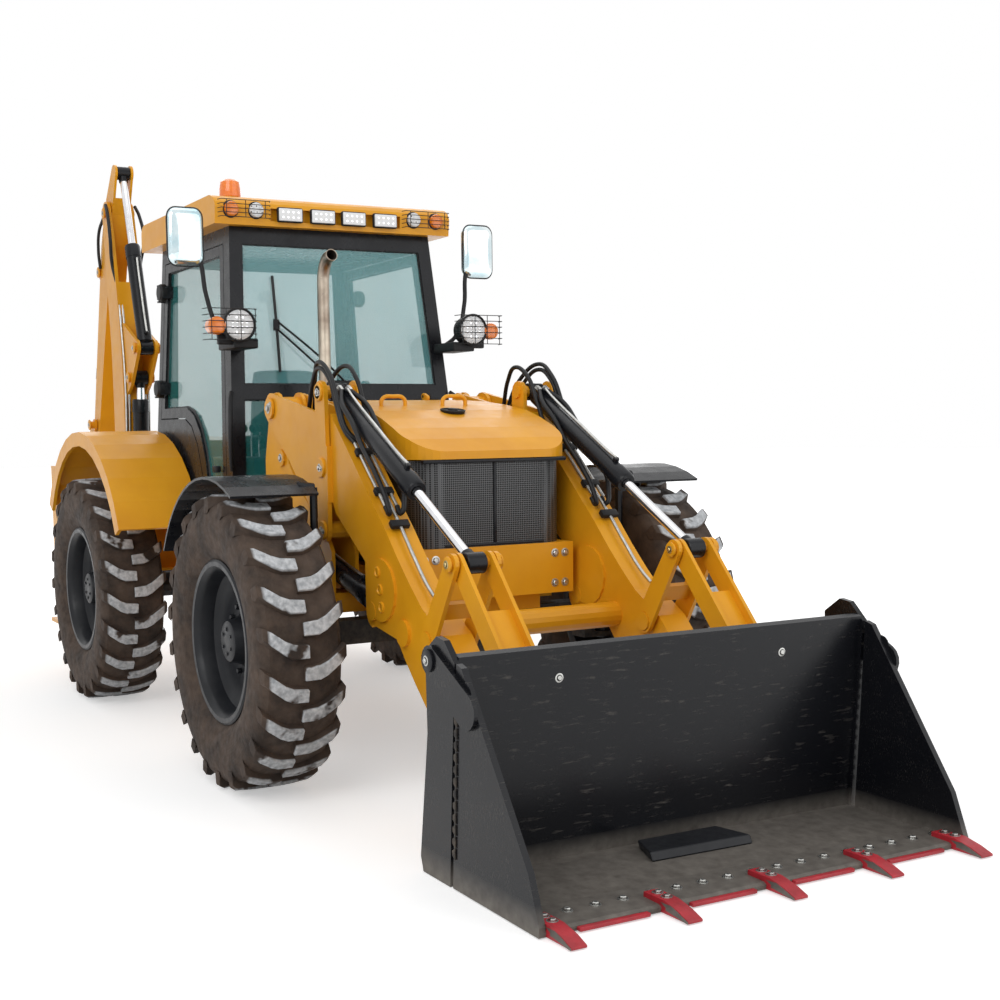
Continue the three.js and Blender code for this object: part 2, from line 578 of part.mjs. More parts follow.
function steeringColumn() {
  const foot = [-1440, 0, CAB_FLOOR_Z + 50];
  const head = [-1610, 0, 1830];
  const tilt = new THREE.Quaternion().setFromUnitVectors(UNIT.z, new THREE.Vector3(-0.36, 0, 0.93).normalize());
  const ring = new THREE.TorusGeometry(190, 16, 6, 16).applyQuaternion(tilt).translate(...head);
  return join(
    bar(foot, head, 34, 12),
    bar([-1610, -185, 1830], [-1610, 185, 1830], 12, 8),
    solid(ring),
    bar(foot, [foot[0], 0, CAB_FLOOR_Z + 90], 90, 16),
  );
}

function exhaust() {
  const [x, y] = [-1010, -250];
  const path = [[x, y, 1895], [x, y, 2200], [x, y, 2500], [x + 8, y, 2600], [x + 60, y, 2672], [x + 130, y, 2690]];
  const inside = [[x, y, 2450], [x, y, 2500], [x + 8, y, 2600], [x + 60, y, 2672], [x + 130, y, 2690],
    [x + 180, y, 2694]];
  return join(
    cut(tube(path, 36, 9, 8), tube(inside, 31, 8, 8)),
    bar([x, y, 1880 + SEAT], [x, y, 1905], 58, 16),
  );
}

// Work lamp, indicator and mirror of one side, on one bracket off the front pillar.
function lampAndMirror(side) {
  const z = 2306;
  return join(
    sideBox(side, [cabFront(2180) + SEAT, -1070], [625, 770], [2180, 2235]),
    bar([-1165, side * 745, z], [-1050, side * 745, z], 78, 20, 92),
    bar([-1140, side * 872, z - 6], [-1060, side * 872, z - 6], 44, 16, 48),
    sideBox(side, [-1130, -1080], [800, 850], [z - 30, z + 10]),
    tube([[-1300, side * 680, 2215], [-1300, side * 800, 2330], [-1318, side * 845, 2560],
      [-1326, side * 862, 2700], [-1328, side * 900, 2800]], 15, 18),
    sideBox(side, [-1352, -1310], [845, 1050], [2650, 2970]),
  );
}

// ---------------------------------------------------------------- body work beside the chassis
function sideTank(side) {
  const tank = sideBox(side, [-1900, -960], [RAIL_OUTER_Y + SEAT, 690], [560, 1060]);
  const treads = [560, 830].map((z) => sideBox(side, [-1880, -1200], [680, 900], [z, z + 24]));
  const ends = [[-1880, -1860], [-1220, -1200]].map((xs) => sideBox(side, xs, [680, 900], [560, 854]));
  return join(tank, treads, ends);
}

function rearFender(side) {
  const [outer, skin] = [1000, 22];
  const centre = [REAR_AXLE_X, 730];
  const arc = (radius, from, to) => Array.from({ length: 13 }, (_, i) => {
    const angle = from + ((to - from) * i) / 12;
    return [centre[0] + radius * Math.cos(angle), centre[1] + radius * Math.sin(angle)];
  });
  const front = THREE.MathUtils.degToRad(25);
  const rear = THREE.MathUtils.degToRad(150);
  const band = (radius, thickness) => [...arc(radius, front, rear), ...arc(radius - thickness, rear, front)];
  const inner = CAB_HALF_BOTTOM + SEAT;
  return join(
    plate(band(outer, skin), side * inner, side * 1270),
    plate(band(outer, 90), side * 1250, side * 1272),
    plate(band(outer, 190), side * inner, side * (inner + 18)),
  );
}

// ---------------------------------------------------------------- loader
// The arm's boxed beam in the side view, from the rear cheeks to the bucket pin.
function beamOutline() {
  const shape = new THREE.Shape();
  shape.moveTo(-40, 1800);
  shape.lineTo(30, 1735);
  shape.lineTo(560, 1250);
  shape.quadraticCurveTo(740, 1060, 900, 935);
  shape.lineTo(1085, 830);
  shape.lineTo(BUCKET_PIN[0] + 52, BUCKET_PIN[1] + 60);
  shape.absarc(BUCKET_PIN[0], BUCKET_PIN[1], 80, 0.85, -2.3, true);
  shape.lineTo(940, 486);
  shape.quadraticCurveTo(760, 640, 660, 760);
  shape.lineTo(400, 800);
  shape.absarc(LIFT_EYE[0], LIFT_EYE[1], 82, -1.8, -3.3, true);
  shape.lineTo(330, 1095);
  shape.lineTo(0, 1310);
  shape.lineTo(-50, 1400);
  return shape;
}

function cheekOutline() {
  const shape = new THREE.Shape();
  const [px, pz] = ARM_PIVOT;
  shape.absarc(px, pz, 84, 1.75, 3.95, false);
  shape.lineTo(-520, 1560);
  shape.quadraticCurveTo(-300, 1380, CHEEK_LOW_PIN[0] - 56, CHEEK_LOW_PIN[1]);
  shape.absarc(CHEEK_LOW_PIN[0] + 4, CHEEK_LOW_PIN[1], 60, Math.PI, 2 * Math.PI, false);
  shape.lineTo(TILT_RAM_PIN[0] + 58, TILT_RAM_PIN[1]);
  shape.absarc(TILT_RAM_PIN[0], TILT_RAM_PIN[1], 58, 0, Math.PI, false);
  shape.lineTo(TILT_RAM_PIN[0] - 58, 1812);
  return shape;
}

function loaderArm(side) {
  const ramSlot = plate([[150, 1040], [440, 960], [492, 920], [492, 700], [150, 700]],
    side * (ARM_CENTRE_Y - LIFT_SLOT), side * (ARM_CENTRE_Y + LIFT_SLOT));
  const beam = cut(plate(beamOutline(), side * ARM_INNER_Y, side * ARM_OUTER_Y, 3), ramSlot);
  const cheeks = [1, -1].map((reach) => plate(cheekOutline(),
    side * ARM_CENTRE_Y + reach * (ARM_HALF + CHEEK_GAP),
    side * ARM_CENTRE_Y + reach * (ARM_HALF + CHEEK_GAP + CHEEK), 3));
  const hole = bore(ARM_PIVOT, side * 400, side * 800, 40);
  const reach = ARM_HALF + CHEEK_GAP + CHEEK;
  const across = [side * (ARM_CENTRE_Y - reach), side * (ARM_CENTRE_Y + reach)];
  const spacer = plate([[-160, 1440], [-30, 1360], [-30, 1640], [-160, 1640]], ...across);
  const gussets = pinEnds(GUSSET, side * ARM_CENTRE_Y, ARM_HALF - 5, ARM_HALF + 12, 150, 16);
  const bosses = [
    crossBar(LEVER_PIN, side * (ARM_CENTRE_Y - LEVER_REACH - 8), side * (ARM_CENTRE_Y + LEVER_REACH + 8), 44, 12),
    crossBar(BUCKET_PIN, side * (ARM_CENTRE_Y - 124), side * (ARM_CENTRE_Y + 124), 24),
    pinEnds(LIFT_EYE, side * ARM_CENTRE_Y, LIFT_RAM.eyeHalf + 5, ARM_HALF + 14, 46),
  ];
  const tiltPins = pinEnds(TILT_RAM_PIN, side * ARM_CENTRE_Y, TILT_RAM.eyeHalf + PIN_SEAT, reach + 12, 34);
  const cheekPins = [CHEEK_MID_PIN, CHEEK_LOW_PIN].map((pin) => crossBar(pin, ...across, 42));
  return join(beam, cut(join(cheeks), hole), spacer, gussets, bosses, tiltPins, cheekPins);
}

function loaderArms() {
  const tubeRadius = 62;
  const cross = crossBar(CROSS_TUBE, -ARM_OUTER_Y - 16, ARM_OUTER_Y + 16, tubeRadius, 16);
  return join(loaderArm(1), loaderArm(-1), cross);
}

// Two plates of the tipping lever, outside the arm's skins, tied by the pin at the top.
function lever(side) {
  const outline = linkOutline(LEVER_PIN, LEVER_TOP, 56, 46);
  const lies = (a, b) => plate(outline, side * (ARM_CENTRE_Y + a), side * (ARM_CENTRE_Y + b));
  const hole = bore(LEVER_PIN, side * 300, side * 900, 44);
  const tie = bridge(between(LEVER_PIN, LEVER_TOP, 0.3), between(LEVER_PIN, LEVER_TOP, 0.5), 12, side,
    LEVER_REACH - 1);
  return join(
    cut(join(lies(LEVER_REACH - 20, LEVER_REACH), lies(-LEVER_REACH, -LEVER_REACH + 20)), hole),
    pinEnds(LEVER_TOP, side * ARM_CENTRE_Y, TILT_RAM.eyeHalf + 5, LEVER_REACH + 10, 27),
    tie,
  );
}

// Slotted box link from the lever's top to the bucket, hung on the lever's pin.
function bucketLink(side) {
  const outline = linkOutline(LEVER_TOP, LINK_PIN, 48, 50);
  const lies = (a, b) => plate(outline, side * (ARM_CENTRE_Y + a), side * (ARM_CENTRE_Y + b));
  const hole = bore(LEVER_TOP, side * 300, side * 900, 27, 12);
  const floor = bridge(between(LEVER_TOP, LINK_PIN, 0.42), between(LEVER_TOP, LINK_PIN, 0.86), 14, side, 80);
  return cut(join(lies(66, 84), lies(-84, -66), floor), hole);
}

// Flat plate joining two side plates between two side-view points.
function bridge(from, to, half, side, reach) {
  const length = distance(from, to);
  const nx = (-(to[1] - from[1]) / length) * half;
  const nz = ((to[0] - from[0]) / length) * half;
  return plate([[from[0] + nx, from[1] + nz], [to[0] + nx, to[1] + nz], [to[0] - nx, to[1] - nz],
    [from[0] - nx, from[1] - nz]], side * (ARM_CENTRE_Y - reach), side * (ARM_CENTRE_Y + reach));
}

function bucketBack() {
  const half = BUCKET_HALF_WIDTH;
  const back = plate([[BUCKET_BACK_X - 14, 12], [BUCKET_BACK_X + 2, 12], [BUCKET_BACK_X + 60, BUCKET_TOP_Z],
    [BUCKET_BACK_X + 30, BUCKET_TOP_Z + 10]], -half + 24, half - 24);
  const foot = box([BUCKET_BACK_X - 190, BUCKET_BACK_X + 60], [-half + 32, half - 32], [2, 30]);
  const outline = [[1580, 60], [1600, 2], [BUCKET_BACK_X + 16, 2], [BUCKET_BACK_X + 40, 420],
    [BUCKET_BACK_X + 70, 860], [1790, 936], [1730, 944], [1640, 880], [1650, 560]];
  const cheeks = [1, -1].map((side) => plate(outline, side * (half - 26), side * half));
  const lugs = [];
  for (const side of [1, -1]) {
    for (const reach of [-1, 1]) {
      const y = side * ARM_CENTRE_Y + reach * 104;
      lugs.push(plate([[BUCKET_PIN[0] - 60, BUCKET_PIN[1] - 30], [BUCKET_PIN[0] + 20, BUCKET_PIN[1] - 75],
        [BUCKET_BACK_X, 60], [BUCKET_BACK_X + 40, 800], [LINK_PIN[0] - 10, LINK_PIN[1] + 55],
        [LINK_PIN[0] - 58, LINK_PIN[1] - 10], [BUCKET_PIN[0] - 50, BUCKET_PIN[1] + 50]], y - 10, y + 10));
    }
  }
  const holes = [1, -1].map((side) => bore(BUCKET_PIN, side * 300, side * 900, 24, 12));
  const linkPins = [1, -1].map((side) => pinEnds(LINK_PIN, side * ARM_CENTRE_Y, 89, 122, 28)).flat();
  const clamPins = [1, -1].map((side) => crossBar(CLAM_PIN, side * (half - 26), side * (half + 22), 28, 12));
  return join(cut(join(back, foot, cheeks, lugs), holes), linkPins, clamPins);
}

function bucketClam() {
  const half = BUCKET_HALF_WIDTH;
  const gap = 10;
  const floorX = BUCKET_BACK_X + 66;
  const floor = plate([[floorX, 4], [EDGE_X, 4], [EDGE_X, 16], [floorX + 4, 34]], -half, half);
  const outline = [[BUCKET_BACK_X + 28 + gap, 4], [EDGE_X, 4], [EDGE_X + 4, 40], [2365, 212],
    [BUCKET_BACK_X + 120, 850], [BUCKET_BACK_X + 72 + gap, 862], [BUCKET_BACK_X + 52 + gap, 420]];
  const cheeks = [1, -1].map((side) => plate(outline, side * (half - 26), side * half));
  const ear = linkOutline(CLAM_PIN, [BUCKET_BACK_X + 170, 700], 58, 70);
  const ears = [1, -1].map((side) => cut(plate(ear, side * (half + 0.5), side * (half + 17)),
    bore(CLAM_PIN, side * half, side * (half + 20), 28, 12)));
  const spacers = [1, -1].map((side) => plate(linkOutline([BUCKET_BACK_X + 150, 760], [BUCKET_BACK_X + 170, 700],
    46, 46), side * (half - 2), side * (half + 2)));
  const teeth = [-2, -1, 0, 1, 2].map((place) => {
    const y = place * 484;
    return plate([[2338, 17], [2470, 17], [TOOTH_X, 5], [TOOTH_X, 11], [2480, 44], [2338, 40]],
      y - 32, y + 32);
  });
  return join(floor, cheeks, ears, spacers, teeth);
}

// ---------------------------------------------------------------- rear frame and backhoe
const hoe = (half) => [SHIFT_Y - half, SHIFT_Y + half];
const hoePlate = (outline, from, to) => plate(outline, SHIFT_Y + from, SHIFT_Y + to);
const hoePair = (outline, from, to) => [hoePlate(outline, from, to), hoePlate(outline, -to, -from)];
const hoeBar = (point, half, radius, sides) => crossBar(point, SHIFT_Y - half, SHIFT_Y + half, radius, sides);

const FRAME_X = [RAIL_REAR_X - SEAT - 100, RAIL_REAR_X - SEAT];
const LEG_X = [RAIL_FACE_X - 100, RAIL_FACE_X + 100];
const LEG_Y = [1000, 1200];
const LEG_WALL = 24;

function rearFrame() {
  const body = cut(
    box(FRAME_X, [-1100, 1100], [620, 1180]),
    box([FRAME_X[0] - 60, FRAME_X[1] + 40], [-880, -60], [730, 1070]),
    box([FRAME_X[0] - 60, FRAME_X[1] + 40], [60, 880], [730, 1070]),
  );
  const rails = [[620, 690], [1110, 1180]].map((zs) => box([RAIL_FACE_X, FRAME_X[0] + 1], [-1020, 1020], zs));
  const housings = [1, -1].map((side) => cut(
    sideBox(side, LEG_X, LEG_Y, [480, 1490]),
    sideBox(side, [LEG_X[0] + LEG_WALL, LEG_X[1] - LEG_WALL], [LEG_Y[0] + LEG_WALL, LEG_Y[1] - LEG_WALL],
      [470, 1466]),
  ));
  return join(body, rails, housings);
}

function stabilizerLeg(side) {
  const slack = LEG_WALL + RUN;
  const shoe = LEG_WALL + 0.5;
  return join(
    sideBox(side, [LEG_X[0] + slack, LEG_X[1] - slack], [LEG_Y[0] + slack, LEG_Y[1] - slack], [395, 1455]),
    sideBox(side, [LEG_X[0] + shoe, LEG_X[1] - shoe], [LEG_Y[0] + shoe, LEG_Y[1] - shoe], [1360, 1440]),
    sideBox(side, [LEG_X[0] - 40, LEG_X[1] + 40], [LEG_Y[0] - 30, LEG_Y[1] + 30], [370, 396]),
  );
}

function carriage() {
  const slab = box([RAIL_FACE_X - 120, RAIL_FACE_X - 0.5], hoe(300), [560, 1240]);
  const hooks = [[1180.5, 1240], [560, 619.5]].map((zs) => (
    box([RAIL_FACE_X - 20, RAIL_FACE_X + 70], hoe(300), zs)));
  const lug = linkOutline([SWING_X, SHIFT_Y], [RAIL_FACE_X - 160, SHIFT_Y], 90, 110);
  const lugs = [[570, 640], [940, 1010]].map(([z0, z1]) => cut(prism('xy', lug, z0, z1),
    box([RAIL_FACE_X - 60, RAIL_FACE_X + 140], hoe(400), [500, 1300])));
  const pin = bar([SWING_X, SHIFT_Y, 560], [SWING_X, SHIFT_Y, 1014], 44, 16);
  return join(slab, hooks, lugs, pin);
}

function kingpost() {
  const barrel = bar([SWING_X, SHIFT_Y, 645], [SWING_X, SHIFT_Y, 935], 85, 16);
  const block = box([SWING_X - 110, SWING_X - 20], hoe(HOE_CHEEK), [650, 930]);
  const hole = bar([SWING_X, SHIFT_Y, 600], [SWING_X, SHIFT_Y, 1000], 44.4 / Math.cos(Math.PI / 12), 12);
  const cheek = new THREE.Shape();
  cheek.absarc(BOOM_FOOT[0], BOOM_FOOT[1], 95, 1.9, 4.6, false);
  cheek.lineTo(SWING_X - 110, 650);
  cheek.lineTo(SWING_X - 110, 1015);
  cheek.lineTo(SWING_X - 30, 1062);
  cheek.absarc(BOOM_RAM_BASE[0], BOOM_RAM_BASE[1], 74, -1.1, 2.4, false);
  const cheeks = hoePair(cheek, HOE_HALF + RUN, HOE_CHEEK);
  const pins = [hoeBar(BOOM_FOOT, HOE_CHEEK, 30)];
  const ramPin = pinEnds(BOOM_RAM_BASE, SHIFT_Y, BOOM_RAM.eyeHalf + PIN_SEAT, HOE_CHEEK + 14, 30);
  return join(cut(join(barrel, block), hole), cheeks, pins, ramPin);
}

function boom() {
  const shape = new THREE.Shape();
  shape.absarc(BOOM_FOOT[0], BOOM_FOOT[1], 84, Math.PI, 2 * Math.PI + 0.5, false);
  shape.quadraticCurveTo(SWING_X - 120, 1250, SWING_X - 100, 1700);
  shape.quadraticCurveTo(SWING_X - 90, 2150, SWING_X - 150, 2500);
  shape.quadraticCurveTo(SWING_X - 200, 2900, DIPPER_PIN[0] + 88, DIPPER_PIN[1]);
  shape.absarc(DIPPER_PIN[0], DIPPER_PIN[1], 88, 0, Math.PI, false);
  shape.quadraticCurveTo(SWING_X - 470, 2900, SWING_X - 400, 2400);
  shape.quadraticCurveTo(SWING_X - 370, 1900, SWING_X - 390, 1500);
  const body = cut(
    plate(shape, ...hoe(HOE_HALF)),
    box([SWING_X - 700, SWING_X], hoe(HOE_HALF - 24), [2860, 3600]),
    bore(BOOM_FOOT, ...hoe(200), 30, 12),
  );
  const ear = new THREE.Shape();
  ear.moveTo(SWING_X - 150, 1960);
  ear.lineTo(BOOM_RAM_EYE[0] + 20, BOOM_RAM_EYE[1] - 60);
  ear.lineTo(DIPPER_RAM_BASE[0] + 56, DIPPER_RAM_BASE[1] - 30);
  ear.absarc(DIPPER_RAM_BASE[0], DIPPER_RAM_BASE[1], 62, -0.5, 1.6, false);
  ear.lineTo(SWING_X - 180, 2560);
  const ears = hoePair(ear, 56, 80);
  const caps = [
    pinEnds(BOOM_RAM_EYE, SHIFT_Y, BOOM_RAM.eyeHalf + 5, 92, 36),
    pinEnds(DIPPER_RAM_BASE, SHIFT_Y, DIPPER_RAM.eyeHalf + PIN_SEAT, 92, 36),
  ];
  const pins = hoeBar(DIPPER_PIN, HOE_HALF + 12, 32);
  return join(body, ears, caps, pins);
}

function dipper() {
  const shape = new THREE.Shape();
  shape.absarc(DIPPER_TAIL[0], DIPPER_TAIL[1], 60, -0.9, 2.6, false);
  shape.lineTo(DIPPER_PIN[0] - 120, DIPPER_PIN[1] + 60);
  shape.lineTo(SWING_X - 700, 3180);
  shape.lineTo(HOE_PIN[0] - 66, HOE_PIN[1] + 10);
  shape.absarc(HOE_PIN[0], HOE_PIN[1], 66, Math.PI, 2 * Math.PI - 0.4, false);
  shape.lineTo(DIPPER_PIN[0] + 20, DIPPER_PIN[1] - 240);
  shape.lineTo(DIPPER_PIN[0] + 80, DIPPER_PIN[1] - 20);
  const body = cut(plate(shape, ...hoe(HOE_HALF - 30)),
    bore(DIPPER_PIN, ...hoe(200), 32, 12),
    hoePlate(linkOutline(HOE_RAM_BASE, between(HOE_RAM_BASE, HOE_LEVER_TIP, 0.55), 62, 52), -52, 52),
    box([SWING_X - 500, SWING_X - 100], hoe(52), [3500, 3800]));
  const ramEar = linkOutline(HOE_RAM_BASE, [SWING_X - 650, 2940], 52, 80);
  const ears = hoePair(ramEar, 50, HOE_HALF - 31);
  const pins = [
    pinEnds(HOE_RAM_BASE, SHIFT_Y, HOE_RAM.eyeHalf + PIN_SEAT, HOE_HALF - 20, 30),
    hoeBar(HOE_LEVER_PIN, HOE_HALF + 26, 30),
    hoeBar(HOE_PIN, HOE_HALF + 4, 28),
  ];
  return join(body, ears, pins);
}

// Two plates of the backhoe's tipping lever, tied by the pin at their tip.
function hoeLever() {
  const outline = linkOutline(HOE_LEVER_PIN, HOE_LEVER_TIP, 48, 42);
  const [near, far] = [0.5, 0.72].map((share) => between(HOE_LEVER_PIN, HOE_LEVER_TIP, share));
  return join(
    cut(join(hoePair(outline, HOE_HALF - 22, HOE_HALF - 8)), bore(HOE_LEVER_PIN, ...hoe(200), 30, 12)),
    pinEnds(HOE_LEVER_TIP, SHIFT_Y, HOE_RAM.eyeHalf + 5, HOE_HALF + 18, 22),
    hoePlate(linkOutline(near, far, 10), 20 - HOE_HALF, HOE_HALF - 20),
  );
}

function hoeLink() {
  const outline = linkOutline(HOE_LEVER_TIP, HOE_LINK_PIN, 40, 42);
  const [near, far] = [0.32, 0.46].map((share) => between(HOE_LEVER_TIP, HOE_LINK_PIN, share));
  return join(
    cut(join(hoePair(outline, HOE_HALF - 2, HOE_HALF + 12)), bore(HOE_LEVER_TIP, ...hoe(200), 22, 12)),
    hoePlate(linkOutline(near, far, 10), -HOE_HALF, HOE_HALF),
  );
}

function hoeBucket() {
  const at = ([dx, dz]) => [HOE_PIN[0] + dx, HOE_PIN[1] + dz];
  const outer = [[-100, -240], [-70, -390], [60, -540], [260, -612], [470, -596], [640, -486],
    [560, -420], [330, -210], [120, -110]].map(at);
  const inner = [[-60, -250], [-50, -378], [70, -520], [262, -592], [466, -578], [660, -462],
    [620, -300], [330, 40], [-20, -60]].map(at);
  const shell = cut(plate(outer, ...hoe(HOE_BUCKET_HALF)), plate(inner, ...hoe(HOE_BUCKET_HALF - 16)));
  const ear = [[-40, 46], [40, 40], [60, -40], [20, -180], [-86, -330], [-112, -240], [-152, -170],
    [-130, -100]].map(at);
  const hole = bore(HOE_PIN, ...hoe(300), 28, 12);
  const ears = hoePair(ear, HOE_HALF - 24, HOE_HALF - 6);
  return join(cut(join(shell, ears), hole), hoeBar(HOE_LINK_PIN, HOE_HALF - 4, 24));
}

// ---------------------------------------------------------------- materials and assembly
const paint = (color, roughness = 0.35) => ({ color, roughness, metalness: 0.1 });
const LOOKS = {
  yellow: paint(0xe69a12),
  black: paint(0x15161a),
  tyre: { color: 0x2a2724, roughness: 0.9, metalness: 0 },
  steel: { color: 0xb9bdc2, roughness: 0.25, metalness: 0.95 },
  cast: { color: 0x2b2c2e, roughness: 0.7, metalness: 0.5 },
  cloth: { color: 0x1d1e20, roughness: 0.95, metalness: 0 },
};

const machine = new THREE.Group();
machine.name = 'backhoe_loader';

function addPiece(name, look, body, place = [0, 0, 0]) {
  const mesh = new THREE.Mesh(geometryOf(body), new THREE.MeshStandardMaterial(LOOKS[look]));
  mesh.name = name;
  mesh.position.set(...place);
  machine.add(mesh);
}

addPiece('chassis', 'yellow', chassis());
addPiece('front_axle', 'cast', frontAxle());
addPiece('rear_axle', 'cast', rearAxle());
addPiece('engine', 'cast', engine());
addPiece('grille', 'black', grille());
addPiece('bonnet', 'yellow', bonnet());
addPiece('exhaust', 'steel', exhaust());
addPiece('cab_frame', 'black', cabFrame());
addPiece('roof', 'yellow', roof());
addPiece('seat', 'cloth', seat());
addPiece('rear_frame', 'yellow', rearFrame());

const SIDES = { left: 1, right: -1 };
for (const [name, side] of Object.entries(SIDES)) {
  addPiece(`door_${name}`, 'black', door(side));
  addPiece(`lamp_mirror_${name}`, 'black', lampAndMirror(side));
  addPiece(`side_tank_${name}`, 'yellow', sideTank(side));
  addPiece(`rear_fender_${name}`, 'yellow', rearFender(side));
  addPiece(`knuckle_${name}`, 'black', knuckle(side));
  addPiece(`stabilizer_${name}`, 'yellow', stabilizerLeg(side));
  for (const [end, x] of [['front', 0], ['rear', REAR_AXLE_X]]) {
    const place = [x, side * WHEEL_Y, TYRE_RADIUS];
    addPiece(`tyre_${end}_${name}`, 'tyre', tyre(), place);
    addPiece(`rim_${end}_${name}`, 'black', rim(side), place);
  }
  const y = side * ARM_CENTRE_Y;
  addPiece(`lift_barrel_${name}`, 'black', ramBarrel(LIFT_BASE, LIFT_EYE, y, LIFT_RAM));
  addPiece(`lift_rod_${name}`, 'steel', ramRod(LIFT_BASE, LIFT_EYE, y, LIFT_RAM));
  addPiece(`tilt_barrel_${name}`, 'black', ramBarrel(TILT_RAM_PIN, LEVER_TOP, y, TILT_RAM));
  addPiece(`tilt_rod_${name}`, 'steel', ramRod(TILT_RAM_PIN, LEVER_TOP, y, TILT_RAM));
  addPiece(`lever_${name}`, 'yellow', lever(side));
  addPiece(`bucket_link_${name}`, 'yellow', bucketLink(side));
}

addPiece('loader_arms', 'yellow', loaderArms());
addPiece('bucket_back', 'black', bucketBack());
addPiece('bucket_clam', 'black', bucketClam());
addPiece('carriage', 'yellow', carriage());
addPiece('kingpost', 'yellow', kingpost());
addPiece('boom', 'yellow', boom());
addPiece('dipper', 'yellow', dipper());
addPiece('hoe_bucket', 'yellow', hoeBucket());
addPiece('hoe_lever', 'yellow', hoeLever());
addPiece('hoe_link', 'yellow', hoeLink());
const HOE_RAMS = {
  boom: [BOOM_RAM_BASE, BOOM_RAM_EYE, BOOM_RAM],
  dipper: [DIPPER_RAM_BASE, DIPPER_TAIL, DIPPER_RAM],
  hoe_bucket: [HOE_RAM_BASE, HOE_LEVER_TIP, HOE_RAM],
};
for (const [name, [base, eye, sizes]] of Object.entries(HOE_RAMS)) {
  addPiece(`${name}_ram_barrel`, 'black', ramBarrel(base, eye, SHIFT_Y, sizes));
  addPiece(`${name}_ram_rod`, 'steel', ramRod(base, eye, SHIFT_Y, sizes));
}

// The origin is the middle of the machine's footprint, on the ground.
const bounds = new THREE.Box3().setFromObject(machine);
const origin = bounds.getCenter(new THREE.Vector3()).setZ(bounds.min.z);
machine.children.forEach((mesh) => mesh.position.sub(origin));

export default machine;
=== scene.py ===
# Looks of the backhoe loader: materials, glass, lamps, tyres, rams, pipes and the studio round it.
import math

import bmesh
import bpy
from mathutils import Matrix, Vector


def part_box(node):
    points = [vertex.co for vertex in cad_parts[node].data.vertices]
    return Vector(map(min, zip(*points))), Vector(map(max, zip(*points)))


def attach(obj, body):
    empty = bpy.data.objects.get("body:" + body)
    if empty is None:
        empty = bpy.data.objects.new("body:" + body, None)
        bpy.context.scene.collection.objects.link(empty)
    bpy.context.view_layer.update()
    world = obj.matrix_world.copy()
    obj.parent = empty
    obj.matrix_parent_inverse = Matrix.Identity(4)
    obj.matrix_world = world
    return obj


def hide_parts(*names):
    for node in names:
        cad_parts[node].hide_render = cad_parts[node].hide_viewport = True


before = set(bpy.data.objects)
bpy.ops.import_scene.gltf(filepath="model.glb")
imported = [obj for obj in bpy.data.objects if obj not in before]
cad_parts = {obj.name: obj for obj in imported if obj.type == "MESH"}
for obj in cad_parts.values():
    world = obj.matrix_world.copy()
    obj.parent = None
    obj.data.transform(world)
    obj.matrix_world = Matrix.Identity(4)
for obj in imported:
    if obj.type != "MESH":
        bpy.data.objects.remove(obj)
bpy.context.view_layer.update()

_low, _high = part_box("tyre_front_left")
AXLE_X = (_low.x + _high.x) / 2  # the front axle in the row frame
SIDES = {"left": 1, "right": -1}
X_AXIS, Y_AXIS, Z_AXIS = Vector((1, 0, 0)), Vector((0, 1, 0)), Vector((0, 0, 1))


def at(x, y, z):
    """A point given in millimetres from the ground under the front axle."""
    return Vector((AXLE_X + x / 1000, y / 1000, z / 1000))


# ---------------------------------------------------------------- materials
class Nodes:
    """Builds one material's node tree round a Principled shader."""

    def __init__(self, name):
        self.material = bpy.data.materials.new(name)
        self.material.use_nodes = True
        self.tree = self.material.node_tree
        self.shader = self.tree.nodes["Principled BSDF"]
        self.place = self.add("ShaderNodeTexCoord").outputs["Object"]

    def add(self, kind, **settings):
        node = self.tree.nodes.new(kind)
        for key, value in settings.items():
            setattr(node, key, value)
        return node

    def link(self, source, target):
        self.tree.links.new(source, target)

    def noise(self, scale, detail=4.0, rough=0.55, place=None):
        node = self.add("ShaderNodeTexNoise")
        node.inputs["Scale"].default_value = scale
        node.inputs["Detail"].default_value = detail
        node.inputs["Roughness"].default_value = rough
        self.link(place or self.place, node.inputs["Vector"])
        return node.outputs["Fac"]

    def ramp(self, value, low, high, start=0.0, end=1.0):
        node = self.add("ShaderNodeMapRange", clamp=True)
        for key, number in zip(("From Min", "From Max", "To Min", "To Max"), (low, high, start, end)):
            node.inputs[key].default_value = number
        self.link(value, node.inputs["Value"])
        return node.outputs["Result"]

    def math(self, operation, a, b):
        node = self.add("ShaderNodeMath", operation=operation)
        for socket, value in zip(node.inputs, (a, b)):
            if isinstance(value, (int, float)):
                socket.default_value = value
            else:
                self.link(value, socket)
        return node.outputs[0]

    def mix(self, factor, a, b):
        node = self.add("ShaderNodeMix", data_type="RGBA")
        self.link(factor, node.inputs["Factor"])
        for name, value in (("A", a), ("B", b)):
            socket = [s for s in node.inputs if s.name == name and s.type == "RGBA"][0]
            if isinstance(value, tuple):
                socket.default_value = (*value, 1)
            else:
                self.link(value, socket)
        return [s for s in node.outputs if s.type == "RGBA"][0]

    def axis(self, name):
        node = self.add("ShaderNodeSeparateXYZ")
        self.link(self.place, node.inputs[0])
        return node.outputs[name]

    def color(self, value):
        self.link(value, self.shader.inputs["Base Color"])

    def rough(self, value):
        self.link(value, self.shader.inputs["Roughness"])

    def bump(self, height, strength, distance=0.002):
        node = self.add("ShaderNodeBump")
        node.inputs["Strength"].default_value = strength
        node.inputs["Distance"].default_value = distance
        self.link(height, node.inputs["Height"])
        self.link(node.outputs["Normal"], self.shader.inputs["Normal"])

    def set(self, **values):
        for key, value in values.items():
            self.shader.inputs[key.replace("_", " ")].default_value = value
        return self


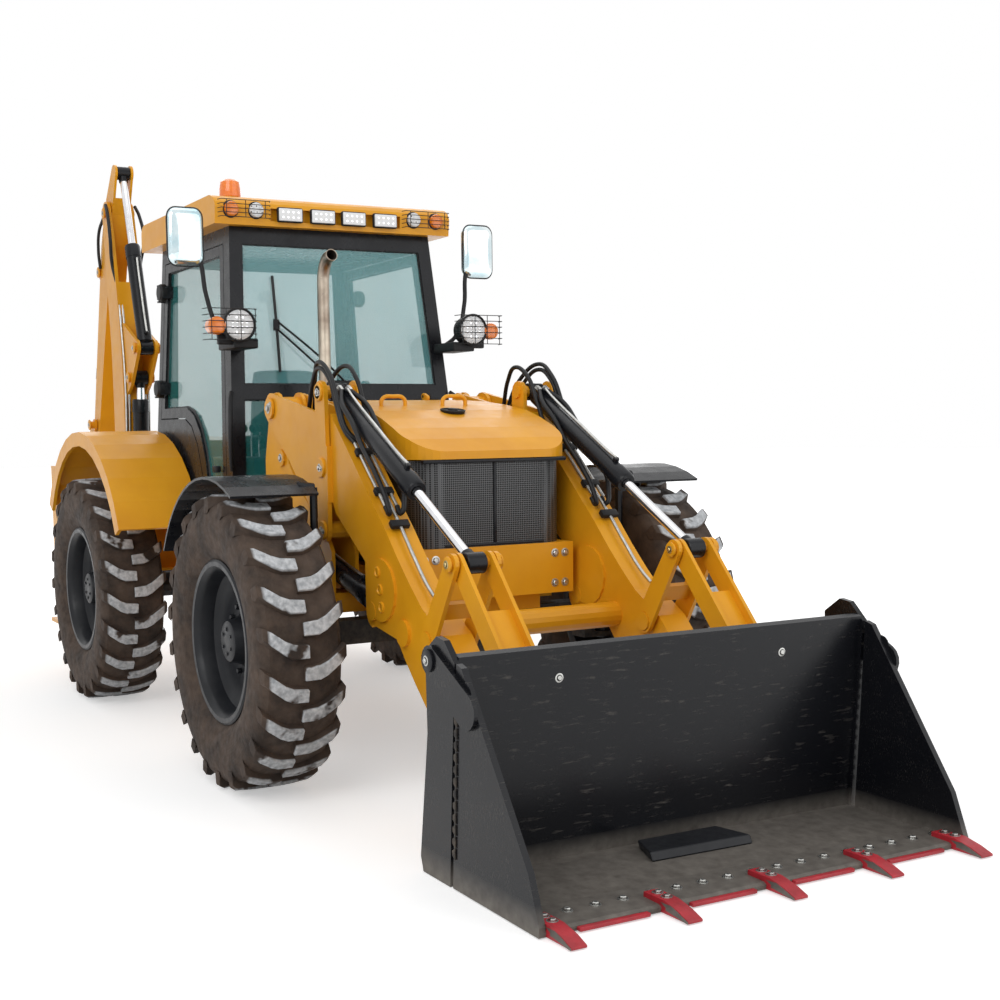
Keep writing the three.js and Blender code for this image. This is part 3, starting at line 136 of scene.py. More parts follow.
def finish(name, base, shade, low_rough, high_rough, *, scale=3.0, bump=0.0, bump_scale=180.0, dust=None,
           dust_height=0.9, **sockets):
    """A painted, cast or moulded surface: two tones, uneven gloss, fine relief and dust low down."""
    n = Nodes(name)
    n.set(**sockets)
    cloudy = n.noise(scale, 6.0)
    tone = n.mix(n.ramp(cloudy, 0.35, 0.68), base, shade)
    if dust:
        height = n.ramp(n.axis("Z"), 0.0, dust_height, 1.0, 0.0)
        speckle = n.ramp(n.noise(14.0, 8.0, 0.7), 0.42, 0.72)
        tone = n.mix(n.math("MULTIPLY", n.math("MULTIPLY", height, speckle), 0.75), tone, dust)
    n.color(tone)
    n.rough(n.ramp(n.noise(scale * 5, 5.0), 0.3, 0.7, low_rough, high_rough))
    if bump:
        n.bump(n.noise(bump_scale, 3.0), bump, 0.001)
    return n.material


DUST = (0.24, 0.19, 0.14)
YELLOW = finish("yellow_enamel", (0.80, 0.365, 0.012), (0.72, 0.310, 0.010), 0.30, 0.42, bump=0.05,
                dust=DUST, dust_height=0.7, Coat_Weight=0.06, Coat_Roughness=0.16, Specular_IOR_Level=0.28)
BLACK = finish("black_enamel", (0.0060, 0.0066, 0.0085), (0.011, 0.012, 0.015), 0.22, 0.36, bump=0.06,
               dust=DUST, dust_height=0.6, Specular_IOR_Level=0.22)
RIM = finish("rim_enamel", (0.0075, 0.0085, 0.011), (0.014, 0.015, 0.018), 0.30, 0.46, bump=0.08, scale=5.0,
             Specular_IOR_Level=0.25)
PLASTIC = finish("moulded_black", (0.008, 0.008, 0.009), (0.013, 0.013, 0.014), 0.48, 0.6, bump=0.25,
                 bump_scale=900.0, Specular_IOR_Level=0.25)
CAST = finish("cast_black", (0.012, 0.012, 0.013), (0.026, 0.024, 0.022), 0.55, 0.72, bump=0.5,
              bump_scale=260.0, dust=DUST, dust_height=1.1, Specular_IOR_Level=0.25)
ZINC = finish("zinc_plate", (0.56, 0.56, 0.54), (0.42, 0.42, 0.40), 0.28, 0.42, scale=30.0, Metallic=1.0)
PIN = finish("pin_zinc", (0.60, 0.50, 0.26), (0.48, 0.40, 0.22), 0.32, 0.45, scale=30.0, Metallic=1.0)
CHROME = finish("hard_chrome", (0.80, 0.80, 0.82), (0.70, 0.70, 0.72), 0.05, 0.13, scale=20.0, Metallic=1.0)
STACK = finish("exhaust_steel", (0.50, 0.44, 0.36), (0.24, 0.19, 0.15), 0.26, 0.5, scale=5.0, Metallic=1.0)
HOSE = finish("hose_rubber", (0.007, 0.007, 0.008), (0.012, 0.012, 0.013), 0.38, 0.52, bump=0.35,
              bump_scale=700.0, Specular_IOR_Level=0.3)
RED = finish("tooth_red", (0.46, 0.018, 0.030), (0.30, 0.014, 0.022), 0.36, 0.52, scale=16.0, bump=0.1)
SHELL = finish("mirror_shell", (0.84, 0.91, 0.92), (0.50, 0.68, 0.74), 0.06, 0.14, scale=7.0, Metallic=0.85)
AMBER = finish("amber_lens", (0.95, 0.24, 0.003), (0.85, 0.19, 0.002), 0.12, 0.22, scale=60.0, bump=0.5,
               bump_scale=160.0, Coat_Weight=0.6)
MIRROR = finish("mirror_face", (0.86, 0.88, 0.90), (0.82, 0.84, 0.86), 0.02, 0.05, Metallic=1.0)


def glass_material(name, low, high):
    """Tinted glass that is seen through by its opacity and doesn't refract."""
    n = Nodes(name)
    n.set(Roughness=0.0, IOR=1.45, Alpha=0.30, Specular_IOR_Level=0.9, Coat_Weight=0.5, Coat_Roughness=0.0)
    n.color(n.mix(n.ramp(n.noise(1.5, 3.0), 0.3, 0.7), low, high))
    return n.material


def lens_material():
    """Clear lamp lens over a white dish, with rows of small round emitters behind it."""
    n = Nodes("clear_lens")
    n.set(Coat_Weight=0.8, Coat_Roughness=0.03)
    cells = n.add("ShaderNodeTexVoronoi", feature="F1")
    cells.inputs["Scale"].default_value = 31.0
    cells.inputs["Randomness"].default_value = 0.12
    n.link(n.place, cells.inputs["Vector"])
    dots = n.ramp(cells.outputs["Distance"], 0.13, 0.20, 1.0, 0.0)
    halo = n.ramp(cells.outputs["Distance"], 0.34, 0.46, 0.0, 0.35)
    dish = n.mix(halo, (0.90, 0.91, 0.92), (0.45, 0.47, 0.49))
    n.color(n.mix(dots, dish, (0.10, 0.10, 0.09)))
    n.rough(n.ramp(cells.outputs["Distance"], 0.1, 0.5, 0.08, 0.3))
    n.bump(cells.outputs["Distance"], 0.6, 0.004)
    return n.material


def mesh_material():
    """Perforated black sheet of the radiator grille, with painted shade in its holes."""
    n = Nodes("perforated_sheet")
    n.set(Metallic=0.5)
    holes = n.add("ShaderNodeTexVoronoi", feature="F1")
    holes.inputs["Scale"].default_value = 95.0
    holes.inputs["Randomness"].default_value = 0.0
    n.link(n.place, holes.inputs["Vector"])
    # The holes are not cut: the near-black dots are painted shade standing in for the dark openings.
    n.color(n.mix(n.ramp(holes.outputs["Distance"], 0.36, 0.46), (0.002, 0.002, 0.002), (0.085, 0.087, 0.09)))
    n.rough(n.ramp(holes.outputs["Distance"], 0.2, 0.5, 0.7, 0.32))
    n.bump(holes.outputs["Distance"], 0.5, 0.003)
    return n.material


def bucket_material():
    """Black enamel, scraped to dull steel towards the floor of the bucket and its edges."""
    n = Nodes("bucket_enamel")
    low = n.ramp(n.axis("Z"), 0.015, 0.11, 1.0, 0.0)
    scuff = n.ramp(n.noise(9.0, 9.0, 0.72), 0.46, 0.66)
    streak = n.add("ShaderNodeTexNoise")
    stretch = n.add("ShaderNodeMapping")
    stretch.inputs["Scale"].default_value = (60.0, 2.2, 14.0)
    n.link(n.place, stretch.inputs["Vector"])
    n.link(stretch.outputs["Vector"], streak.inputs["Vector"])
    streak.inputs["Detail"].default_value = 6.0
    lines = n.ramp(streak.outputs["Fac"], 0.56, 0.74)
    scraped = n.math("MULTIPLY", scuff, n.math("MULTIPLY", lines, 0.5))
    worn = n.math("MAXIMUM", n.math("MULTIPLY", low, 0.85), scraped)
    ground = n.mix(n.ramp(n.noise(22.0, 6.0), 0.3, 0.7), (0.13, 0.115, 0.10), (0.22, 0.20, 0.175))
    n.color(n.mix(worn, (0.0055, 0.0060, 0.0080), ground))
    n.rough(n.ramp(worn, 0.0, 1.0, 0.26, 0.62))
    n.set(Specular_IOR_Level=0.25)
    n.bump(n.noise(70.0, 5.0), 0.08, 0.002)
    return n.material


def tread_material():
    """Tyre rubber: brown-black sides, dusty grooves and pale scrubbed tops on the lugs."""
    n = Nodes("tyre_rubber")
    n.set(Specular_IOR_Level=0.25)
    around = n.add("ShaderNodeVectorMath", operation="MULTIPLY")
    around.inputs[1].default_value = (1.0, 0.0, 1.0)
    n.link(n.place, around.inputs[0])
    length = n.add("ShaderNodeVectorMath", operation="LENGTH")
    n.link(around.outputs["Vector"], length.inputs[0])
    radius = length.outputs["Value"]
    rubber = n.mix(n.ramp(n.noise(7.0, 7.0, 0.65), 0.35, 0.68), (0.030, 0.022, 0.018), (0.090, 0.062, 0.046))
    patch = n.math("MULTIPLY", n.ramp(radius, 0.699, 0.706), n.ramp(n.noise(6.5, 3.0), 0.39, 0.45))
    tops = n.mix(n.ramp(n.noise(40.0, 5.0), 0.35, 0.65), (0.36, 0.38, 0.40), (0.66, 0.68, 0.70))
    n.color(n.mix(n.math("MULTIPLY", patch, 0.85), rubber, tops))
    n.rough(n.ramp(n.noise(30.0, 5.0), 0.3, 0.7, 0.62, 0.88))
    rings = n.add("ShaderNodeMath", operation="SINE")
    n.link(n.math("MULTIPLY", radius, 420.0), rings.inputs[0])
    sides = n.math("MULTIPLY", rings.outputs[0], n.ramp(radius, 0.60, 0.63, 0.35, 0.0))
    n.bump(n.math("ADD", sides, n.noise(160.0, 4.0)), 0.25, 0.002)
    return n.material


def cloth_material():
    n = Nodes("seat_weave")
    n.set(Sheen_Weight=0.3, Roughness=0.9)
    weave = n.add("ShaderNodeTexWave", wave_type="BANDS", bands_direction="DIAGONAL")
    weave.inputs["Scale"].default_value = 120.0
    n.link(n.place, weave.inputs["Vector"])
    n.color(n.mix(weave.outputs["Fac"], (0.012, 0.012, 0.014), (0.034, 0.034, 0.037)))
    n.bump(weave.outputs["Fac"], 0.4, 0.001)
    return n.material


GLASS = glass_material("screen_glass", (0.16, 0.50, 0.53), (0.22, 0.58, 0.61))
SIDE_GLASS = glass_material("side_glass", (0.04, 0.30, 0.29), (0.06, 0.36, 0.35))
LENS = lens_material()
PERFORATED = mesh_material()
BUCKET = bucket_material()
TREAD = tread_material()
CLOTH = cloth_material()


# ---------------------------------------------------------------- mesh helpers
def add_object(name, data, material, body):
    piece = bpy.data.objects.new(name, data)
    bpy.context.scene.collection.objects.link(piece)
    data.materials.append(material)
    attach(piece, body)
    return piece


def smooth_mesh(name, bm, angle):
    """A smooth-shaded mesh, with the edges over this angle left sharp."""
    mesh = bpy.data.meshes.new(name)
    bmesh.ops.recalc_face_normals(bm, faces=bm.faces)
    bm.to_mesh(mesh)
    bm.free()
    mesh.shade_smooth()
    mesh.set_sharp_from_angle(angle=angle)
    return mesh


def from_bmesh(name, bm, material, body, angle=0.6):
    return add_object(name, smooth_mesh(name, bm, angle), material, body)


def bevel(piece, width, segments=2, angle=0.6):
    modifier = piece.modifiers.new("edges", "BEVEL")
    modifier.width = width
    modifier.segments = segments
    modifier.limit_method = "ANGLE"
    modifier.angle_limit = angle
    modifier.harden_normals = True
    return piece


def put_box(bm, low, high, radius=0.004, segments=2, turn=None):
    """Adds a box with rounded edges, optionally turned about its own middle."""
    middle = (low + high) / 2
    size = Vector([abs(value) for value in high - low])
    place = Matrix.Translation(middle) @ (turn or Matrix.Identity(4)) @ Matrix.Diagonal((*size, 1))
    made = bmesh.ops.create_cube(bm, size=1.0, matrix=place)["verts"]
    edges = list({edge for vert in made for edge in vert.link_edges})
    radius = min(radius, min(size) * 0.45)
    bmesh.ops.bevel(bm, geom=edges, offset=radius, segments=segments, affect="EDGES", profile=0.5)


def cap(radius, straight, height, edge):
    """Profile of a pin cap: straight sides, then a chamfer that takes edge off the radius."""
    return [(0, 0), (0, radius), (straight, radius), (height, radius - edge), (height, 0)]


def put_turned(bm, start, axis, profile, sides=40):
    """Adds a solid turned about an axis: profile is [distance along it, radius] in metres."""
    turn = axis.normalized().to_track_quat("Z", "Y").to_matrix()
    rings = []
    for along, radius in profile:
        if radius < 1e-6:
            rings.append([bm.verts.new(start + turn @ Vector((0, 0, along)))])
            continue
        rings.append([bm.verts.new(start + turn @ Vector((radius * math.cos(a), radius * math.sin(a), along)))
                      for a in (2 * math.pi * i / sides for i in range(sides))])
    for one, two in zip(rings, rings[1:]):
        for i in range(sides):
            j = (i + 1) % sides
            corners = [one[i % len(one)], one[j % len(one)], two[j % len(two)], two[i % len(two)]]
            unique = list(dict.fromkeys(corners))
            if len(unique) > 2:
                bm.faces.new(unique)


def put_prism(bm, outline, thickness):
    """Adds a plate with these corner points, as thick as the given vector."""
    near = [bm.verts.new(point) for point in outline]
    far = [bm.verts.new(point + thickness) for point in outline]
    bm.faces.new(near)
    bm.faces.new(list(reversed(far)))
    for i in range(len(near)):
        j = (i + 1) % len(near)
        bm.faces.new((near[i], far[i], far[j], near[j]))


def put_bolt(bm, spot, axis, radius=0.011, height=0.009):
    """Adds a hexagon head on its washer."""
    put_turned(bm, spot, axis, [(0, 0), (0, radius * 1.7), (0.002, radius * 1.7), (0.003, radius * 1.2)], 16)
    put_turned(bm, spot, axis, [(0.001, 0), (0.001, radius), (height * 0.8, radius), (height, radius * 0.8),
                                (height, 0)], 6)


def build(name, material, body, *puts, angle=0.6):
    """One piece out of several (function, arguments) additions."""
    bm = bmesh.new()
    for put, *arguments in puts:
        put(bm, *arguments)
    return from_bmesh(name, bm, material, body, angle)


def pipes(name, routes, radius, material, body, smooth=True):
    """Round pipes or hoses through the points of each route, as one piece."""
    curve = bpy.data.curves.new(name, "CURVE")
    curve.dimensions = "3D"
    curve.bevel_depth = radius
    curve.bevel_resolution = 4
    curve.resolution_u = 10
    curve.use_fill_caps = True
    for route in routes:
        spline = curve.splines.new("BEZIER" if smooth else "POLY")
        points = spline.bezier_points if smooth else spline.points
        points.add(len(route) - 1)
        for point, place in zip(points, route):
            if smooth:
                point.co = place
                point.handle_left_type = point.handle_right_type = "AUTO"
            else:
                point.co = (*place, 1)
    return add_object(name, curve, material, body)


# ---------------------------------------------------------------- CAD nodes that stay
def dress(names, material, width=0.003):
    """Material, dissolved flat faces and rounded edges on CAD nodes that stay in view."""
    for name in names:
        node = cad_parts[name]
        node.data.materials.clear()
        node.data.materials.append(material)
        node.data.shade_smooth()
        node.data.set_sharp_from_angle(angle=0.55)
        if width:
            flat = node.modifiers.new("flat", "DECIMATE")
            flat.decimate_type = "DISSOLVE"
            flat.angle_limit = 0.01
            bevel(node, width, 2, 0.55)
            node.modifiers["edges"].use_clamp_overlap = True


both = lambda stem: [f"{stem}_{side}" for side in SIDES]
dress(["chassis", "rear_frame", "carriage", "kingpost", "boom", "dipper", "hoe_bucket", "hoe_lever",
       "hoe_link", "loader_arms", *both("lever"), *both("bucket_link"), *both("stabilizer")], YELLOW)
dress(["roof"], YELLOW, 0.016)
dress(["bonnet", *both("rear_fender")], YELLOW, 0.005)
dress(both("side_tank"), YELLOW, 0.004)
dress(["cab_frame", *both("door")], BLACK)
dress(both("knuckle"), BLACK, 0.002)
dress(["bucket_back", "bucket_clam"], BUCKET)
dress(["front_axle", "rear_axle", "engine"], CAST)
dress(["grille"], PERFORATED, 0.0)

# ---------------------------------------------------------------- wheels
TYRE_R, WHEEL_Y = 0.715, 1.12  # tyre radius and the wheel's middle from the centre line, in metres


def put_lug(bm, start, side):
    """One tread lug: from low on the shoulder, over the crown, to just past the middle."""
    sections = [  # y, turn, top radius, base radius, half width at top and base
        (0.199, 0.052, 0.640, 0.618, 0.020, 0.030),
        (0.197, 0.040, 0.690, 0.640, 0.028, 0.038),
        (0.165, 0.006, 0.7085, 0.662, 0.031, 0.042),
        (0.100, -0.062, 0.7125, 0.668, 0.031, 0.042),
        (0.062, -0.086, 0.7145, 0.672, 0.031, 0.041),
        (-0.010, -0.092, 0.7150, 0.674, 0.028, 0.038),
    ]
    rings = []
    for y, turn, top, base, half_top, half_base in sections:
        ring = []
        for radius, half in ((base, -half_base), (top, -half_top), (top, half_top), (base, half_base)):
            angle = start + turn + half / TYRE_R
            ring.append(bm.verts.new((radius * math.cos(angle), side * y, radius * math.sin(angle))))
        rings.append(ring)
    for one, two in zip(rings, rings[1:]):
        for i in range(4):
            j = (i + 1) % 4
            bm.faces.new((one[i], one[j], two[j], two[i]))
    bm.faces.new(rings[0])
    bm.faces.new(list(reversed(rings[-1])))


def tyre_mesh():
    bm = bmesh.new()
    half = [(0.148, 0.363), (0.150, 0.392), (0.158, 0.410), (0.178, 0.436), (0.192, 0.480), (0.199, 0.530),
            (0.200, 0.575), (0.197, 0.615), (0.188, 0.645), (0.165, 0.668), (0.11, 0.677), (0.05, 0.680)]
    profile = [*half, *((-y, r) for y, r in reversed(half))]
    put_turned(bm, Vector((0, 0, 0)), Y_AXIS, [*profile, profile[0]], 120)
    count = 22
    for i in range(count):
        put_lug(bm, 2 * math.pi * i / count, 1)
        put_lug(bm, 2 * math.pi * (i + 0.5) / count, -1)
    mesh = smooth_mesh("tyre", bm, 0.55)
    mesh.materials.append(TREAD)
    return mesh


def rim_mesh(side):
    bm = bmesh.new()
    profile = [(0.120, 0.0), (0.120, 0.086), (0.114, 0.098), (0.050, 0.116), (0.036, 0.132), (0.030, 0.20),
               (0.026, 0.248), (0.034, 0.288), (0.052, 0.318), (0.070, 0.334), (0.132, 0.342),
               (0.150, 0.350), (0.166, 0.366), (0.167, 0.388), (0.160, 0.398), (0.150, 0.398),
               (0.149, 0.3616), (-0.149, 0.3616), (-0.150, 0.398), (-0.166, 0.398), (-0.167, 0.380),
               (-0.160, 0.352), (-0.06, 0.335), (0.006, 0.326), (0.012, 0.10), (0.012, 0.0)]
    put_turned(bm, Vector((0, 0, 0)), Vector((0, side, 0)), profile, 96)
    for i in range(10):
        angle = 2 * math.pi * i / 10
        put_bolt(bm, Vector((0.165 * math.cos(angle), side * 0.031, 0.165 * math.sin(angle))),
                 Vector((0, side, 0)), 0.015, 0.024)
    for i in range(6):
        angle = 2 * math.pi * (i + 0.5) / 6
        put_bolt(bm, Vector((0.060 * math.cos(angle), side * 0.119, 0.060 * math.sin(angle))),
                 Vector((0, side, 0)), 0.008, 0.008)
    mesh = smooth_mesh("rim", bm, 0.5)
    mesh.materials.append(RIM)
    return mesh


TYRE_MESH = tyre_mesh()
RIM_MESH = {side: rim_mesh(side) for side in (1, -1)}
for name, side in SIDES.items():
    for end in ("front", "rear"):
        low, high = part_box(f"rim_{end}_{name}")
        centre = Vector(((low.x + high.x) / 2, side * WHEEL_Y, TYRE_R))
        wheel = f"{end}_{name}"
        for kind, mesh in (("tyre", TYRE_MESH), ("rim", RIM_MESH[side])):
            piece = bpy.data.objects.new(f"{kind}_look_{wheel}", mesh)
            bpy.context.scene.collection.objects.link(piece)
            piece.location = centre
            # A quarter turn sets a rear tyre's lugs and worn patches apart from the front one's.
            piece.rotation_euler = (0, math.pi / 2 if (kind, end) == ("tyre", "rear") else 0, 0)
            bpy.context.view_layer.update()
            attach(piece, f"wheel_{wheel}")
            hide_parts(f"{kind}_{wheel}")
            if kind == "tyre":
                bevel(piece, 0.004, 2, 0.7)

# ---------------------------------------------------------------- hydraulic rams
ARM_Y = 580.0
HOE_Y = -450.0
TILT_PIN, LEVER_TOP = (-110, 1908), (1235, 1155)  # x and z of the tilt ram's two ends


def ram(stem, base, eye, y, bore, reach, inside, eye_radius, eye_half, bodies, nodes, colour=BLACK):
    """Barrel with gland, ports and base eye, and a chromed rod with its own eye."""
    a, b = at(base[0], y, base[1]), at(eye[0], y, eye[1])
    axis = (b - a).normalized()
    across = Y_AXIS
    up = across.cross(axis).normalized()
    if up.z < 0:
        up = -up
    ring = lambda half, radius: [(-half, radius * 0.55), (-half, radius - 0.004), (0.004 - half, radius),
                                 (half - 0.004, radius), (half, radius - 0.004), (half, radius * 0.55)]
    port = [(0, 0.016), (0.022, 0.016), (0.026, 0.013), (0.026, 0)]
    tip = reach - eye_radius * 0.7  # the gland's end, measured from the barrel's foot
    barrel = build(
        f"{stem}_barrel_look", colour, bodies[0],
        (put_turned, a + axis * eye_radius * 0.7, axis, [
            (0, 0), (0, bore * 0.8), (0.014, bore), (tip - 0.10, bore), (tip - 0.098, bore + 0.004),
            (tip - 0.012, bore + 0.004), (tip, bore - 0.002), (tip, bore * 0.56), (tip - 0.03, bore * 0.54)]),
        (put_turned, a, across, ring(eye_half, eye_radius)),
        (put_turned, a + axis * (reach - 0.13) + up * bore * 0.9, up, port, 16),
        (put_turned, a + axis * (eye_radius + 0.05) + up * bore * 0.9, up, port, 16))
    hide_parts(nodes[0])
    line = [a + axis * (eye_radius + 0.05) + up * (bore + 0.020),
            a + axis * (eye_radius + 0.12) + up * (bore + 0.014),
            a + axis * (reach * 0.5) + up * (bore + 0.012),
            a + axis * (reach - 0.20) + up * (bore + 0.014),
            a + axis * (reach - 0.13) + up * (bore + 0.020)]
    pipes(f"{stem}_pipe", [line], 0.0075, ZINC, bodies[0])
    length = (b - a).length
    rod = build(
        f"{stem}_rod_look", CHROME, bodies[1],
        (put_turned, a, axis, [(inside, 0), (inside, bore * 0.5), (length - eye_radius * 0.7, bore * 0.5),
                               (length - eye_radius * 0.7, 0)]))
    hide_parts(nodes[1])
    build(f"{stem}_rod_eye", colour, bodies[1],
          (put_turned, b, across, ring(eye_half, eye_radius)),
          (put_turned, b - axis * eye_radius * 1.45, axis, [
              (0, bore * 0.5), (0, bore * 0.62), (eye_radius * 0.7, bore * 0.66), (eye_radius, 0.01)], 32))


for name, side in SIDES.items():
    ram(f"lift_{name}", (-750, 1160), (415, 865), side * ARM_Y, 0.054, 1.05, 0.125, 0.050, 0.048,
        ("lift_barrels", "lift_rods"), (f"lift_barrel_{name}", f"lift_rod_{name}"))
    ram(f"tilt_{name}", TILT_PIN, LEVER_TOP, side * ARM_Y, 0.048, 0.96, 0.40, 0.046, 0.046,
        ("tilt_barrels", "tilt_rods"), (f"tilt_barrel_{name}", f"tilt_rod_{name}"))
    start, end = (at(x, side * ARM_Y, z) for x, z in (TILT_PIN, LEVER_TOP))
    way = (end - start).normalized()
    over = Y_AXIS.cross(way).normalized()
    over = over if over.z > 0 else -over
    ports, strands = [], []
    for offset, pipe_y in ((-64, -38), (64, 22)):
        port = start + way * 0.05 + over * 0.052 + Vector((0, math.copysign(0.024, offset), 0))
        ports.append((put_turned, port, way, [
            (0, 0), (0, 0.0155), (0.034, 0.0155), (0.038, 0.013), (0.038, 0)], 6))
        beside = [start + way * along + over * lift + Vector((0, offset / 1000, 0))
                  for along, lift in ((0.19, 0.040), (0.34, 0.012), (0.48, -0.034))]
        strands.append([port + way * 0.03, *beside, at(445, side * ARM_Y + offset, 1508),
                        at(520, side * ARM_Y + (offset + pipe_y) / 2, 1395),
                        at(524, side * ARM_Y + pipe_y, 1330), at(486, side * ARM_Y + pipe_y, 1360)])
    pipes(f"tilt_hoses_{name}", strands, 0.0125, HOSE, "arms")
    build(f"tilt_fittings_{name}", ZINC, "tilt_barrels", *ports)
ram("boom_ram", (-4060, 1130), (-3990, 2130), HOE_Y, 0.058, 0.84, 0.115, 0.052, 0.050,
    ("boom_ram_barrel", "boom_ram_rod"), ("boom_ram_barrel", "boom_ram_rod"))
ram("dipper_ram", (-3820, 2340), (-4280, 3680), HOE_Y, 0.054, 0.82, 0.70, 0.050, 0.048,
    ("dipper_ram_barrel", "dipper_ram_rod"), ("dipper_ram_barrel", "dipper_ram_rod"))
ram("hoe_ram", (-4768, 2987), (-5330, 1560), HOE_Y, 0.044, 0.90, 0.74, 0.042, 0.046,
    ("hoe_ram_barrel", "hoe_ram_rod"), ("hoe_bucket_ram_barrel", "hoe_bucket_ram_rod"))

# ---------------------------------------------------------------- cab: glass, seals, lamps, mirrors, inside
FLOOR_Z, TOP_Z = 1120.0, 2900.0
cab_half = lambda z: 760 - 110 * (z - FLOOR_Z) / (TOP_Z - FLOOR_Z)
cab_front = lambda z: -1190 - 240 * (z - FLOOR_Z) / (TOP_Z - FLOOR_Z)


def pane(name, corners, thickness, body, glass, seal=0.011):
    """Glass in an opening, with a rubber seal round it."""
    build(name, glass, body, (put_prism, corners, thickness))
    loop = [point + thickness * 0.5 for point in [*corners, corners[0]]]
    pipes(f"{name}_seal", [loop], seal, HOSE, body, smooth=False)


front_corner = lambda y, z: at(cab_front(z) - 22, y, z)
edge = lambda z: cab_half(z) - 80
pane("windscreen", [front_corner(way * edge(z), z)
                    for way, z in ((-1, 1985), (1, 1985), (1, 2800), (-1, 2800))],
     Vector((0.006, 0, 0)), "base", GLASS)
for name, side in SIDES.items():
    pane(f"lower_pane_{name}", [front_corner(side * 475, 1300), front_corner(side * edge(1300), 1300),
                                front_corner(side * edge(1900), 1900), front_corner(side * 475, 1900)],
         Vector((0.006, 0, 0)), "base", SIDE_GLASS)
    window = [(cab_front(1300) - 165, 1300), (cab_front(2745) - 165, 2745), (-2560, 2745), (-2560, 1870),
              (-2120, 1870), (-1990, 1838), (-1860, 1752), (-1740, 1600), (-1668, 1440), (-1620, 1300)]
    pane(f"door_glass_{name}", [at(x, side * (cab_half(z) - 25), z) for x, z in window],
         Vector((0, side * 0.006, 0)), f"door_{name}", SIDE_GLASS)
pane("rear_window", [at(-2680, y, z) for y, z in ((-600, 1650), (600, 1650), (565, 2800), (-565, 2800))],
     Vector((0.006, 0, 0)), "base", GLASS)

# Wiper: two parallel arms from a spindle box under the glass, and an upright blade.
glass_point = lambda y, z, out: at(cab_front(z) - 12 + out, y, z)
pipes("wiper_arms", [[glass_point(20, 1990, 24), glass_point(-150, 2150, 34), glass_point(-395, 2352, 24)],
                     [glass_point(-40, 1985, 24), glass_point(-200, 2128, 34), glass_point(-405, 2312, 24)]],
      0.0065, PLASTIC, "base")
pipes("wiper_blade", [[glass_point(-398, 2060, 8), glass_point(-402, 2330, 15), glass_point(-404, 2620, 8)]],
      0.0085, HOSE, "base")
build("wiper_motor", PLASTIC, "base",
      (put_box, glass_point(-90, 1962, -10), glass_point(60, 2012, 34), 0.012, 3),
      (put_box, glass_point(-425, 2300, 12), glass_point(-385, 2366, 28), 0.006, 2))

LAMP_BARS = (-308, -100, 100, 308)  # y of the four oblong lamps in the roof's front face


def put_lamp_bar(bm, y):
    put_box(bm, at(-1384, y - 60, 2936), at(-1344, y + 60, 2992), 0.006, 3)
    put_box(bm, at(-1348, y - 80, 2922), at(-1322, y + 80, 3008), 0.010, 3)


build("roof_lamp_cases", PLASTIC, "base", *[(put_lamp_bar, y) for y in LAMP_BARS])
build("roof_lamp_lenses", LENS, "base", *[
    (put_box, at(-1330, y - 73, 2929), at(-1317, y + 73, 3001), 0.005, 3) for y in LAMP_BARS])


def put_emitter(bm, x, y, z):
    put_turned(bm, at(x, y, z), X_AXIS, [(0, 0), (0, 0.0075), (0.001, 0.0065), (0.001, 0)], 16)


build("roof_lamp_emitters", CHROME, "base", *[
    (put_emitter, -1317.4, y + across, z) for y in LAMP_BARS
    for across in (-48, -16, 16, 48) for z in (2950, 2980)])


def put_round_lamp(bm, x, y, z, radius, depth):
    put_turned(bm, at(x, y, z), X_AXIS, [
        (0, radius), (depth * 0.6, radius), (depth * 0.85, radius * 0.93), (depth, radius * 0.72),
        (depth * 1.05, 0)], 36)


def wire_guard(name, side, hoop, heights, face_x, uprights, radius):
    """Level wires through the hoop's (x, y) points at each height, joined by upright ones."""
    wires = [[at(x, side * y, z) for x, y in hoop] for z in heights]
    wires += [[at(face_x, side * y, z) for z in (heights[0], heights[-1])] for y in uprights]
    pipes(name, wires, radius, HOSE, "base", smooth=False)


